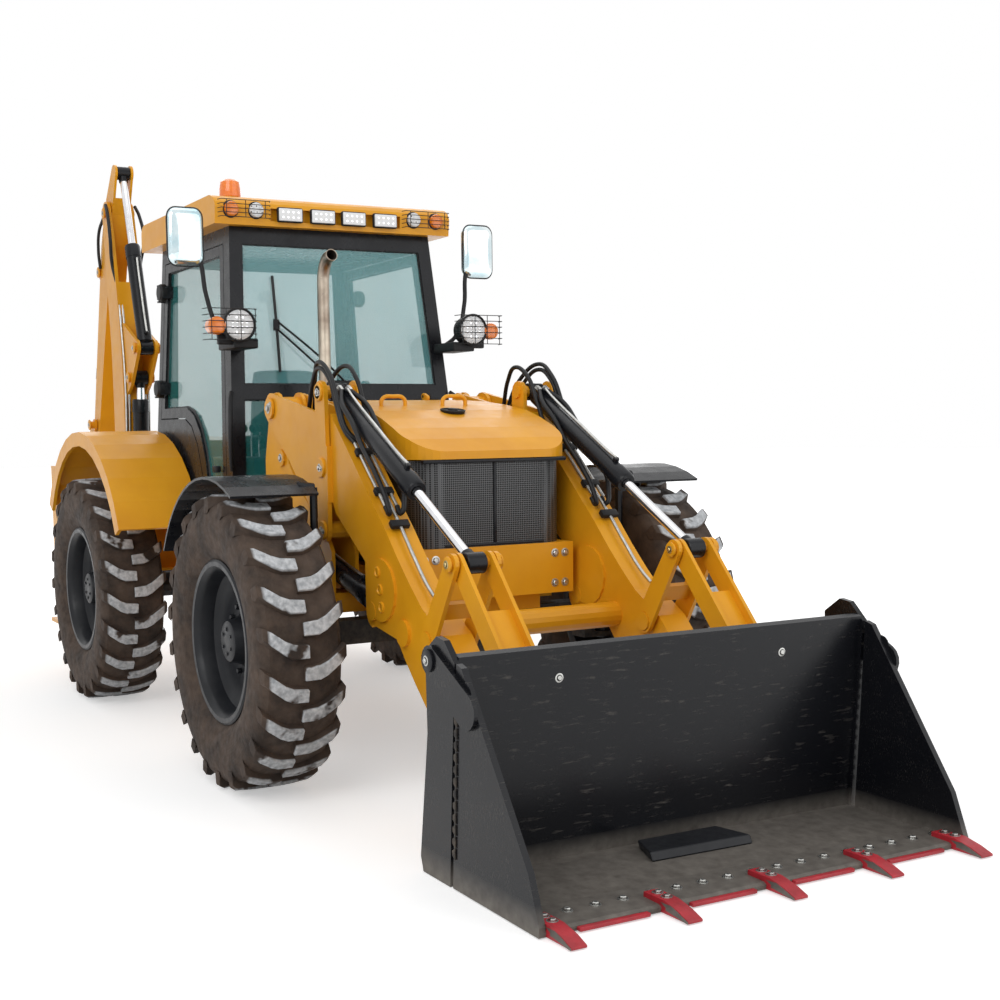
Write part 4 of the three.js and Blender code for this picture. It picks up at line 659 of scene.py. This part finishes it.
for name, side in SIDES.items():
    build(f"roof_lamp_rims_{name}", PLASTIC, "base",
          (put_round_lamp, -1366, side * 664, 2984, 0.050, 0.018),
          (put_round_lamp, -1366, side * 511, 2984, 0.050, 0.018))
    build(f"roof_amber_{name}", AMBER, "base", (put_round_lamp, -1350, side * 664, 2984, 0.042, 0.026))
    build(f"roof_white_{name}", LENS, "base", (put_round_lamp, -1350, side * 511, 2984, 0.042, 0.022))
    wire_guard(f"roof_lamp_guard_{name}", side, ((-1345, 430), (-1308, 440), (-1308, 735), (-1345, 745)),
               range(2936, 3033, 24), -1308, (470, 590, 705), 0.0022)
    build(f"head_lamp_ring_{name}", PLASTIC, "base",
          (put_turned, at(-1160, side * 745, 2306), X_AXIS, [
              (0, 0), (0, 0.05), (0.02, 0.082), (0.09, 0.095), (0.122, 0.096), (0.126, 0.090), (0.118, 0.084),
              (0.112, 0)], 48))
    build(f"head_lamp_lens_{name}", LENS, "base",
          (put_round_lamp, -1052, side * 745, 2306, 0.083, 0.016))
    build(f"head_lamp_emitters_{name}", CHROME, "base", *[
        (put_emitter, -1036, side * 745 + row_y, 2306 + row_z)
        for row_z, row in ((-40, (-18, 18)), (-14, (-42, -14, 14, 42)),
                           (14, (-42, -14, 14, 42)), (40, (-18, 18)))
        for row_y in row])
    build(f"indicator_lens_{name}", AMBER, "base",
          (put_round_lamp, -1064, side * 872, 2300, 0.050, 0.030),
          (put_turned, at(-1140, side * 872, 2300), X_AXIS, [
              (0, 0), (0, 0.03), (0.02, 0.047), (0.078, 0.0495), (0.078, 0)], 32))
    wire_guard(f"lamp_guard_{name}", side, ((-1080, 640), (-1022, 650), (-1014, 930), (-1080, 945)),
               range(2222, 2393, 34), -1018, (660, 745, 830, 915), 0.0024)
    bracket = build(
        f"lamp_bracket_{name}", PLASTIC, "base",
        (put_box, at(cab_front(2180) + 1, side * 625, 2180), at(-1070, side * 770, 2235), 0.008, 3),
        (put_box, at(-1128, side * 735, 2200), at(-1092, side * 852, 2260), 0.008, 3),
        (put_turned, at(-1110, side * 745, 2215), Z_AXIS, [(0, 0.02), (0.03, 0.02)], 20),
        (put_turned, at(-1330, side * 914, 2740), Vector((0, side * 0.2, 1)), [
            (0, 0), (0, 0.020), (0.05, 0.024), (0.13, 0.024), (0.16, 0.014), (0.16, 0)], 24))
    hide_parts(f"lamp_mirror_{name}")
    pipes(f"mirror_arm_{name}", [[at(-1302, side * 680, 2218), at(-1296, side * 770, 2290),
                                  at(-1312, side * 838, 2480), at(-1330, side * 858, 2660),
                                  at(-1333, side * 884, 2762), at(-1331, side * 914, 2808)]],
          0.013, PLASTIC, "base")
    rounded = []
    for corner, (cy, cz) in enumerate(((1000, 2915), (895, 2915), (895, 2705), (1000, 2705))):
        for step in range(8):
            angle = math.radians(90 * corner + 90 * step / 7)
            rounded.append((cy + 50 * math.cos(angle), cz + 55 * math.sin(angle)))
    scaled = lambda x, factor: [at(x, side * (947.5 + (y - 947.5) * factor), 2810 + (z - 2810) * factor)
                                for y, z in rounded]
    shell = bmesh.new()
    rings = [[shell.verts.new(point) for point in scaled(x, factor)]
             for x, factor in ((-1350, 1.0), (-1340, 1.015), (-1326, 1.0), (-1314, 0.93), (-1306, 0.78),
                               (-1303, 0.4))]
    for one, two in zip(rings, rings[1:]):
        for i in range(len(one)):
            j = (i + 1) % len(one)
            shell.faces.new((one[i], one[j], two[j], two[i]))
    shell.faces.new(rings[0])
    shell.faces.new(rings[-1])
    from_bmesh(f"mirror_shell_{name}", shell, SHELL, "base")
    build(f"mirror_face_{name}", MIRROR, "base", (put_prism, scaled(-1353, 0.94), Vector((0.004, 0, 0))))
    pipes(f"mirror_gasket_{name}", [[*scaled(x, factor), scaled(x, factor)[0]]
                                    for x, factor in ((-1351, 0.965), (-1330, 1.012))], 0.0045, HOSE, "base",
          smooth=False)
    pipes(f"grab_rail_{name}", [[at(cab_front(1500) + 12, side * (cab_half(1500) + 6), 1500),
                                 at(cab_front(1540) + 55, side * (cab_half(1540) + 26), 1540),
                                 at(cab_front(1900) + 55, side * (cab_half(1900) + 26), 1900),
                                 at(cab_front(1940) + 12, side * (cab_half(1940) + 6), 1940)]],
          0.013, PLASTIC, "base")
    build(f"door_handle_{name}", PLASTIC, f"door_{name}",
          (put_box, at(-1512, side * (cab_half(1500) - 2), 1480),
           at(-1436, side * (cab_half(1500) + 32), 1520), 0.010, 3))
    for count, z in enumerate((2000, 2620)):
        build(f"door_hinge_cap_{name}_{count}", PLASTIC, f"door_{name}",
              (put_turned, at(-2560, side * (cab_half(z) + 20), z), Vector((0, side, 0)), [
                  (0, 0), (0, 0.056), (0.03, 0.056), (0.044, 0.046), (0.048, 0)], 32))

build("beacon_lens", AMBER, "base", (put_turned, at(-1640, -560, 3090), Z_AXIS, [
    (0, 0.060), (0.010, 0.064), (0.06, 0.062), (0.095, 0.056), (0.108, 0.040), (0.1125, 0)], 40))
build("beacon_foot", PLASTIC, "base", (put_turned, at(-1640, -560, 3067), Z_AXIS, [
    (0, 0.070), (0.02, 0.070), (0.026, 0.064), (0.026, 0)], 40))

# Exhaust: base flange and a pipe with an open, bent mouth.
STACK_X, STACK_Y = -1010, -250
stack_line = [(0, 1890), (0, 2200), (0, 2500), (8, 2600), (55, 2668), (128, 2690)]
stack = pipes("exhaust_pipe", [[at(STACK_X + along, STACK_Y, z) for along, z in stack_line]],
              0.0345, STACK, "base")
stack.data.use_fill_caps = False
stack.data.bevel_resolution = 10
wall = stack.modifiers.new("wall", "SOLIDIFY")
wall.thickness = 0.003
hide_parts("exhaust")
build("exhaust_flange", STACK, "base", (put_turned, at(STACK_X, STACK_Y, 1880.5), Z_AXIS, [
    (0, 0.036), (0, 0.058), (0.012, 0.058), (0.016, 0.046), (0.06, 0.042), (0.064, 0.036)], 40))


# Seat: two padded cushions on their own hard frame with arm rests.
def cushion(name, low, high, crown, channels, body, lean=0.0):
    """A stuffed pad: crowned between pulled-in corners, with sewn channels across it."""
    bm = bmesh.new()
    steps = 22
    size = high - low
    rows = []
    for top in (0, 1):
        grid = []
        for i in range(steps + 1):
            line = []
            for j in range(steps + 1):
                u, v = i / steps * 2 - 1, j / steps * 2 - 1
                x = u * (1 - 0.05 * v ** 4)
                y = v * (1 - 0.05 * u ** 4)
                swell = (1 - u ** 6) * (1 - v ** 6)
                seam = sum(math.exp(-((u - c) / 0.035) ** 2) for c in channels)
                bolster = 0.35 * math.exp(-((abs(v) - 0.82) / 0.16) ** 2)
                height = 0.55 + crown * swell * (0.75 + bolster) - 0.12 * seam * swell
                z = min(height, 1.0) if top else 0.10 * (1 - swell)
                line.append(bm.verts.new((low.x + (x + 1) / 2 * size.x, low.y + (y + 1) / 2 * size.y,
                                          low.z + z * size.z)))
            grid.append(line)
        rows.append(grid)
    for top, grid in enumerate(rows):
        for i in range(steps):
            for j in range(steps):
                quad = (grid[i][j], grid[i + 1][j], grid[i + 1][j + 1], grid[i][j + 1])
                bm.faces.new(quad if top else tuple(reversed(quad)))
    rim = [(i, 0) for i in range(steps)] + [(steps, j) for j in range(steps)]
    rim += [(steps - i, steps) for i in range(steps)] + [(0, steps - j) for j in range(steps)]
    for k, (i, j) in enumerate(rim):
        m, n = rim[(k + 1) % len(rim)]
        bm.faces.new((rows[0][i][j], rows[0][m][n], rows[1][m][n], rows[1][i][j]))
    if lean:
        pivot = Vector((low.x, 0, low.z))
        turn = Matrix.Rotation(lean, 4, "Y")
        for vert in bm.verts:
            vert.co = pivot + turn @ (vert.co - pivot)
    piece = from_bmesh(name, bm, CLOTH, body, 1.2)
    smooth = piece.modifiers.new("round", "SUBSURF")
    smooth.levels = smooth.render_levels = 1
    return piece


base_cushion = cushion("seat_cushion", at(-2240, -240, 1506), at(-1800, 240, 1618), 0.45, (-0.35, 0.1, 0.5),
                       "base")
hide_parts("seat")
back_cushion = cushion("seat_back", at(-2262, -225, 1592), at(-1742, 225, 1692), 0.45, (-0.5, -0.1, 0.3),
                       "base", lean=-1.43)
build("seat_frame", PLASTIC, "base",
      (put_box, at(-2250, -232, 1500.5), at(-1820, 232, 1512), 0.004, 2),
      (put_box, at(-2262, 240, 1640), at(-1960, 282, 1690), 0.016, 3),
      (put_box, at(-2262, -282, 1640), at(-1960, -240, 1690), 0.016, 3))

# Controls: wheel rim, dash, side console with levers, and a rubber mat.
head = at(-1610, 0, 1830)
tilt = Vector((-0.36, 0, 0.93)).normalized()
ring_turn = tilt.to_track_quat("Z", "Y").to_matrix()
wheel_points = [head + ring_turn @ Vector((0.19 * math.cos(a), 0.19 * math.sin(a), 0))
                for a in (2 * math.pi * i / 24 for i in range(25))]
pipes("steering_rim", [wheel_points], 0.0185, PLASTIC, "base")
build("steering_hub", PLASTIC, "base", (put_turned, head - tilt * 0.03, tilt, [
    (0, 0), (0, 0.052), (0.04, 0.060), (0.055, 0.048), (0.060, 0)], 32))
build("dash", PLASTIC, "base",
      (put_box, at(-1500, -150, 1560), at(-1380, 150, 1760), 0.030, 4),
      (put_box, at(-2150, -560, 1400), at(-1650, -330, 1560), 0.030, 4))
build("floor_mat", HOSE, "base", (put_box, at(-2640, -560, 1180.5), at(-1300, 560, 1188), 0.003, 2))
levers = []
knobs = []
for i, y in enumerate((-520, -470, -420, -370)):
    levers.append([at(-1760, y, 1556), at(-1765, y, 1640), at(-1752 + 6 * i, y, 1716)])
    knobs.append((put_turned, at(-1752 + 6 * i, y, 1710), Z_AXIS, [
        (0, 0), (0, 0.008), (0.012, 0.019), (0.032, 0.021), (0.046, 0.013), (0.050, 0)], 20))
pipes("levers", levers, 0.006, CHROME, "base")
build("lever_knobs", PLASTIC, "base", *knobs)

# ---------------------------------------------------------------- bonnet and front
build("filler_cup", PLASTIC, "bonnet",
      (put_turned, at(30, 0, 1800), Vector((0.15, 0, 1)), [
          (0, 0.01), (0, 0.062), (0.014, 0.066), (0.016, 0.060), (0.009, 0.054), (0.009, 0)], 40),
      (put_turned, at(30, 0, 1805), Vector((0.15, 0, 1)), [
          (0, 0.026), (0.014, 0.026), (0.016, 0.022), (0.016, 0)], 24))
pipes("bonnet_handles", [
    [at(-190, y + along, z) for along, z in ((-70, 1830), (-62, 1876), (0, 1888), (62, 1876), (70, 1830))]
    for y in (-230, 130)], 0.0105, YELLOW, "bonnet")
build("grille_frame", BLACK, "base",
      (put_box, at(436, -280, 1146), at(450, 280, 1160), 0.004, 2),
      (put_box, at(430, -405, 1552), at(466, 405, 1572), 0.006, 2),
      (put_box, at(436, -8, 1150), at(449, 8, 1560), 0.003, 2))
build("bumper_bolts", ZINC, "base", *[
    (put_bolt, at(455, y, z), X_AXIS, 0.013, 0.010) for y in (-400, -340, 340, 400) for z in (940, 1090)])

# ---------------------------------------------------------------- loader arms
for name, side in SIDES.items():
    lever_top = lambda beside: at(LEVER_TOP[0], side * ARM_Y + beside, LEVER_TOP[1])
    outward = Vector((0, side, 0))
    top = [(150, 1647), (300, 1510), (560, 1272), (700, 1130), (820, 1016), (905, 958)]
    upper = [*top[:2], (475, 1352)]
    routes = [[at(x + 8, side * (ARM_Y + offset), z + 10) for x, z in line]
              for offset, line in ((38, upper), (8, top), (-22, upper))]
    pipes(f"arm_pipes_{name}", routes, 0.0085, ZINC, "arms")
    near, far = sorted((side * (ARM_Y - 40), side * (ARM_Y + 56)))
    clips = []
    for x, z in ((200, 1600), (400, 1418), (560, 1272)):
        turn = Matrix.Rotation(math.radians(43), 4, "Y")
        clips.append((put_box, at(x - 12, near, z - 4), at(x + 28, far, z + 24), 0.005, 2, turn))
    build(f"arm_clamps_{name}", PLASTIC, "arms", *clips)
    arcs = []
    for offset, beside, rise in ((38, 72, 0), (8, 72, 30), (-22, -72, 12)):
        start_y, side_y = side * (ARM_Y + offset), side * (ARM_Y + beside)
        arcs.append([at(157, start_y, 1658), at(112 + rise / 2, side_y * 0.8 + start_y * 0.2, 1712),
                     at(24 + rise, side_y, 1850), at(-50, side_y, 1970 + rise), at(-180, side_y, 2030 + rise),
                     at(-300, (start_y + side_y) / 2, 1960 + rise), at(-390, start_y, 1830),
                     at(-440, start_y, 1700)])
    pipes(f"arm_hoses_{name}", arcs, 0.0115, HOSE, "arms")
    caps = []
    for x, z, radius in ((*TILT_PIN, 0.046), (-102, 1533, 0.050), (-94, 1219, 0.048)):
        caps.append((put_turned, at(x, side * 680, z), outward, cap(radius, 0.010, 0.014, 0.004), 36))
    build(f"cheek_caps_{name}", YELLOW, "arms", *caps)
    keepers = []
    for x, z in (TILT_PIN, (-102, 1533), (-94, 1219), (1520, 275)):
        y = side * (694 if x < 0 else 704)
        keepers.append((put_bolt, at(x, y, z), outward, 0.012, 0.010))
        keepers.append((put_bolt, at(x + 22, y, z - 4), outward, 0.008, 0.008))
    build(f"arm_keepers_{name}", ZINC, "arms", *keepers)
    build(f"gusset_rings_{name}", YELLOW, "arms", *[
        (put_turned, at(x, side * 667, z), outward, [
            (0, 0.014), (0, 0.026), (0.005, 0.026), (0.008, 0.022), (0.008, 0.019), (0.002, 0.014)], 32)
        for x, z in ((488, 1058), (512, 978), (526, 896))])
    build(f"pivot_keeper_{name}", ZINC, "base",
          (put_bolt, at(-764, side * 699, 1839), outward, 0.016, 0.012),
          (put_bolt, at(-735, side * 699, 1860), outward, 0.009, 0.008),
          (put_bolt, at(-679, side * 669, 1573), outward, 0.014, 0.010))
    build(f"lever_caps_{name}", YELLOW, "levers", *[
        (put_turned, lever_top(beside), Vector((0, math.copysign(1, beside), 0)),
         cap(0.034, 0.006, 0.009, 0.006), 32) for beside in (-122, 122)])
    build(f"lever_bolts_{name}", PIN, "levers",
          (put_bolt, lever_top(131), Y_AXIS, 0.011, 0.009),
          (put_bolt, lever_top(-131), Vector((0, -1, 0)), 0.011, 0.009))

# ---------------------------------------------------------------- front bucket
EDGE = 1025
floor_z = lambda x: 34 - 18 * (x - 1870) / (2430 - 1870)
build("edge_plate", BUCKET, "clam",
      (put_prism, [at(x, -EDGE, z) for x, z in ((2235, floor_z(2235) - 1), (2432, 14), (2432, 22),
                                               (2420, floor_z(2420) + 14), (2240, floor_z(2240) + 14))],
       Vector((0, 2 * EDGE / 1000, 0))), angle=0.4)
build("edge_bolts", ZINC, "clam", *[
    (put_bolt, at(2318, y, floor_z(2318) + 14), Vector((0.03, 0, 1)), 0.013, 0.012)
    for y in range(-960, 961, 120)])
build("edge_segments", RED, "clam", *[
    (put_box, at(2396, middle - 150, 4.5), at(2452, middle + 150, 20), 0.004, 2)
    for middle in (-726, -242, 242, 726)])
teeth = []
tooth_bolts = []
for i in range(-2, 3):
    y = i * 484
    outline = [(2330, 3.5), (2330, 52), (2450, 54), (2520, 34), (2577, 14), (2577, 4)]
    teeth.append((put_prism, [at(x, y - 36 + (8 if x > 2500 else 0), z) for x, z in outline],
                  Vector((0, 0.064, 0))))
    for x in (2368, 2420):
        tooth_bolts.append((put_bolt, at(x, y, 52), Z_AXIS, 0.013, 0.010))
bevel(build("teeth", RED, "clam", *teeth, angle=0.4), 0.003)
build("tooth_bolts", ZINC, "clam", *tooth_bolts)
bevel(build("bucket_ramp", RIM, "clam",
            (put_prism, [at(1880, -200, 33), at(2030, -250, 29.5), at(2040, 250, 29), at(1880, 200, 33)],
             Vector((-0.018, 0, 0.036))), angle=0.4), 0.008)
serration = []
for name, side in SIDES.items():
    for i in range(13):
        z = 120 + 46 * i
        x = 1838 + (z - 30) * 0.052
        serration.append((put_prism, [at(x + 22, side * 1031, z), at(x + 2, side * 1031, z + 14),
                                      at(x + 2, side * 1031, z + 32), at(x + 22, side * 1031, z + 44)],
                          Vector((0, side * 0.005, 0))))
build("seam_teeth", CAST, "clam", *serration)
build("clam_pin_caps", BLACK, "bucket", *[
    (put_turned, at(1700, side * 1048, 850), Vector((0, side, 0)), cap(0.044, 0.008, 0.011, 0.008), 32)
    for side in (1, -1)])
build("clam_pin_bolts", ZINC, "bucket", *[
    (put_bolt, at(1700, side * 1059, 850), Vector((0, side, 0)), 0.012, 0.009) for side in (1, -1)],
    *[(put_bolt, at(1851, y, 760), Vector((1, 0, -0.07)), 0.011, 0.008) for y in (-560, 560)])
build("bucket_ribs", BUCKET, "bucket", *[
    (put_prism, [at(1792, y - 8, 60), at(1742, y - 8, 120), at(1762, y - 8, 700), at(1830, y - 8, 840)],
     Vector((0, 0.016, 0))) for y in (-860, -240, 240, 860)])

# ---------------------------------------------------------------- backhoe details
hoe_pins = {
    "kingpost": [(-4270, 800, 138), (-4060, 1130, 151)],
    "boom": [(-4440, 3400, 113), (-3990, 2130, 93), (-3820, 2340, 93)],
    "dipper": [(-4768, 2987, 81), (-5041, 1785, 127), (-5150, 1420, 105)],
    "hoe_lever": [(-5330, 1560, 119)],
}
for body, spots in hoe_pins.items():
    caps = []
    heads = []
    for x, z, reach in spots:
        for way in (1, -1):
            caps.append((put_turned, at(x, HOE_Y + way * (reach - 1), z), Vector((0, way, 0)),
                         cap(0.042, 0.006, 0.009, 0.006), 32))
            heads.append((put_bolt, at(x, HOE_Y + way * (reach + 8), z), Vector((0, way, 0)), 0.011, 0.008))
    build(f"pin_caps_{body}", YELLOW, body, *caps)
    build(f"pin_heads_{body}", ZINC, body, *heads)

boom_line = [(-4180, 1250), (-4098, 1700), (-4092, 2150), (-4150, 2520), (-4235, 2860)]
pipes("boom_pipes", [[at(x + 2, HOE_Y + offset, z) for x, z in boom_line] for offset in (-88, -64, 64, 88)],
      0.009, ZINC, "boom")
boom_hoses = []
for offset, out in ((-88, 0), (88, 20)):
    boom_hoses.append([at(-4235, HOE_Y + offset, 2860), at(-4262, HOE_Y + offset * 1.25, 3000),
                       at(-4225 + out, HOE_Y + offset * 1.45, 3180), at(-4290, HOE_Y + offset * 1.4, 3370),
                       at(-4370, HOE_Y + offset * 1.3, 3452)])
pipes("boom_hoses", boom_hoses, 0.013, HOSE, "boom")
dipper_hoses = []
for offset in (-84, 84):
    dipper_hoses.append([at(-4560, HOE_Y + offset, 3380), at(-4650, HOE_Y + offset * 1.15, 3290),
                         at(-4700, HOE_Y + offset * 1.12, 3150), at(-4716, HOE_Y + offset * 0.95, 3010)])
pipes("dipper_hoses", dipper_hoses, 0.012, HOSE, "dipper")

hoe_teeth = []
for i in range(5):
    y = HOE_Y + (i - 2) * 92
    hoe_teeth.append((put_prism, [at(-4516, y - 24, 968), at(-4516, y - 24, 926), at(-4440, y - 16, 1002),
                                  at(-4448, y - 16, 1012)], Vector((0, 0.044, 0))))
build("hoe_teeth", CAST, "hoe_bucket", *hoe_teeth, angle=0.4)

build("tail_lamps", AMBER, "base", *[
    (put_box, at(-3752, side * 1040, 1380), at(-3738, side * 1160, 1450), 0.006, 3) for side in (1, -1)])

# Ribs on the steps and caps on the tanks.
for name, side in SIDES.items():
    treads = []
    for z in (584, 854):
        for i in range(9):
            x = -1850 + 78 * i
            treads.append((put_box, at(x, side * 700, z - 1), at(x + 36, side * 890, z + 4), 0.002, 1))
    build(f"step_ribs_{name}", CAST, "base", *treads)
    build(f"tank_cap_{name}", PLASTIC, "base",
          (put_turned, at(-1050, side * 600, 1059), Z_AXIS, [
              (0, 0), (0, 0.046), (0.02, 0.046), (0.03, 0.040), (0.032, 0)], 28))

# ---------------------------------------------------------------- studio
def pale_floor():
    n = Nodes("studio_floor")
    n.set(Roughness=0.85)
    n.color(n.mix(n.noise(0.6, 2.0), (0.80, 0.80, 0.80), (0.84, 0.84, 0.84)))
    path = n.add("ShaderNodeLightPath")
    seen = n.math("MAXIMUM", path.outputs["Is Camera Ray"],
                  n.math("MAXIMUM", path.outputs["Is Glossy Ray"], path.outputs["Is Transmission Ray"]))
    glow = n.add("ShaderNodeEmission")
    glow.inputs["Color"].default_value = (1, 1, 1, 1)
    away = n.add("ShaderNodeVectorMath", operation="LENGTH")
    n.link(n.place, away.inputs[0])
    fade = n.ramp(away.outputs["Value"], 3.5, 11.0, 0.42, 1.0)
    n.link(n.math("MULTIPLY", seen, fade), glow.inputs["Strength"])
    total = n.add("ShaderNodeAddShader")
    n.link(n.shader.outputs[0], total.inputs[0])
    n.link(glow.outputs[0], total.inputs[1])
    output = [node for node in n.tree.nodes if node.type == "OUTPUT_MATERIAL"][0]
    n.link(total.outputs[0], output.inputs["Surface"])
    return n.material


floor_mesh = bpy.data.meshes.new("floor")
span = 60.0
corners = [(-span, -span, 0), (span, -span, 0), (span, span, 0), (-span, span, 0)]
floor_mesh.from_pydata(corners, [], [(0, 1, 2, 3)])
floor_mesh.materials.append(pale_floor())
floor = bpy.data.objects.new("floor", floor_mesh)
floor.location.z = -0.001
bpy.context.scene.collection.objects.link(floor)

world = bpy.data.worlds.new("studio")
bpy.context.scene.world = world
world.use_nodes = True
tree = world.node_tree
path = tree.nodes.new("ShaderNodeLightPath")
either = tree.nodes.new("ShaderNodeMath")
either.operation = "MAXIMUM"
seen = tree.nodes.new("ShaderNodeMath")
seen.operation = "MAXIMUM"
strength = tree.nodes.new("ShaderNodeMapRange")
strength.inputs["To Min"].default_value = 0.5
strength.inputs["To Max"].default_value = 1.0
back = tree.nodes["Background"]
back.inputs["Color"].default_value = (1, 1, 1, 1)
tree.links.new(path.outputs["Is Camera Ray"], either.inputs[0])
tree.links.new(path.outputs["Is Glossy Ray"], either.inputs[1])
tree.links.new(either.outputs[0], seen.inputs[0])
tree.links.new(path.outputs["Is Transmission Ray"], seen.inputs[1])
tree.links.new(seen.outputs[0], strength.inputs["Value"])
tree.links.new(strength.outputs[0], back.inputs["Strength"])


def soft_light(name, place, target, size, power):
    data = bpy.data.lights.new(name, "AREA")
    data.size = size
    data.energy = power
    lamp = bpy.data.objects.new(name, data)
    lamp.location = place
    lamp.rotation_euler = (target - place).to_track_quat("-Z", "Y").to_euler()
    bpy.context.scene.collection.objects.link(lamp)


MIDDLE = Vector((0, 0, 1.3))
soft_light("key", Vector((7.5, -8.0, 8.0)), MIDDLE, 8.0, 540)
soft_light("fill", Vector((9.0, 5.0, 4.5)), MIDDLE, 9.0, 230)
soft_light("top", Vector((-1.0, 0.0, 9.5)), MIDDLE, 9.0, 150)
soft_light("rear", Vector((-9.0, 4.0, 6.0)), MIDDLE, 9.0, 260)

# Camera at the photograph's place: 49.6 mm lens, in front of the machine on its right.
YAW, PITCH, ROLL = 2.661, -0.097, -0.015
look = Vector((math.cos(PITCH) * math.cos(YAW), math.cos(PITCH) * math.sin(YAW), math.sin(PITCH)))
right = Vector((math.sin(YAW), -math.cos(YAW), 0))
up = right.cross(look)
right, up = right * math.cos(ROLL) + up * math.sin(ROLL), up * math.cos(ROLL) - right * math.sin(ROLL)
camera_data = bpy.data.cameras.new("camera")
camera_data.lens = 49.56
camera_data.shift_x = 0.083
camera_data.shift_y = 0.061
camera = bpy.data.objects.new("camera", camera_data)
turn = Matrix((right, up, -look)).transposed().to_4x4()
camera.matrix_world = Matrix.Translation(at(6236, -3455, 1728)) @ turn
bpy.context.scene.collection.objects.link(camera)
bpy.context.scene.camera = camera
bpy.context.scene.view_settings.view_transform = "Standard"
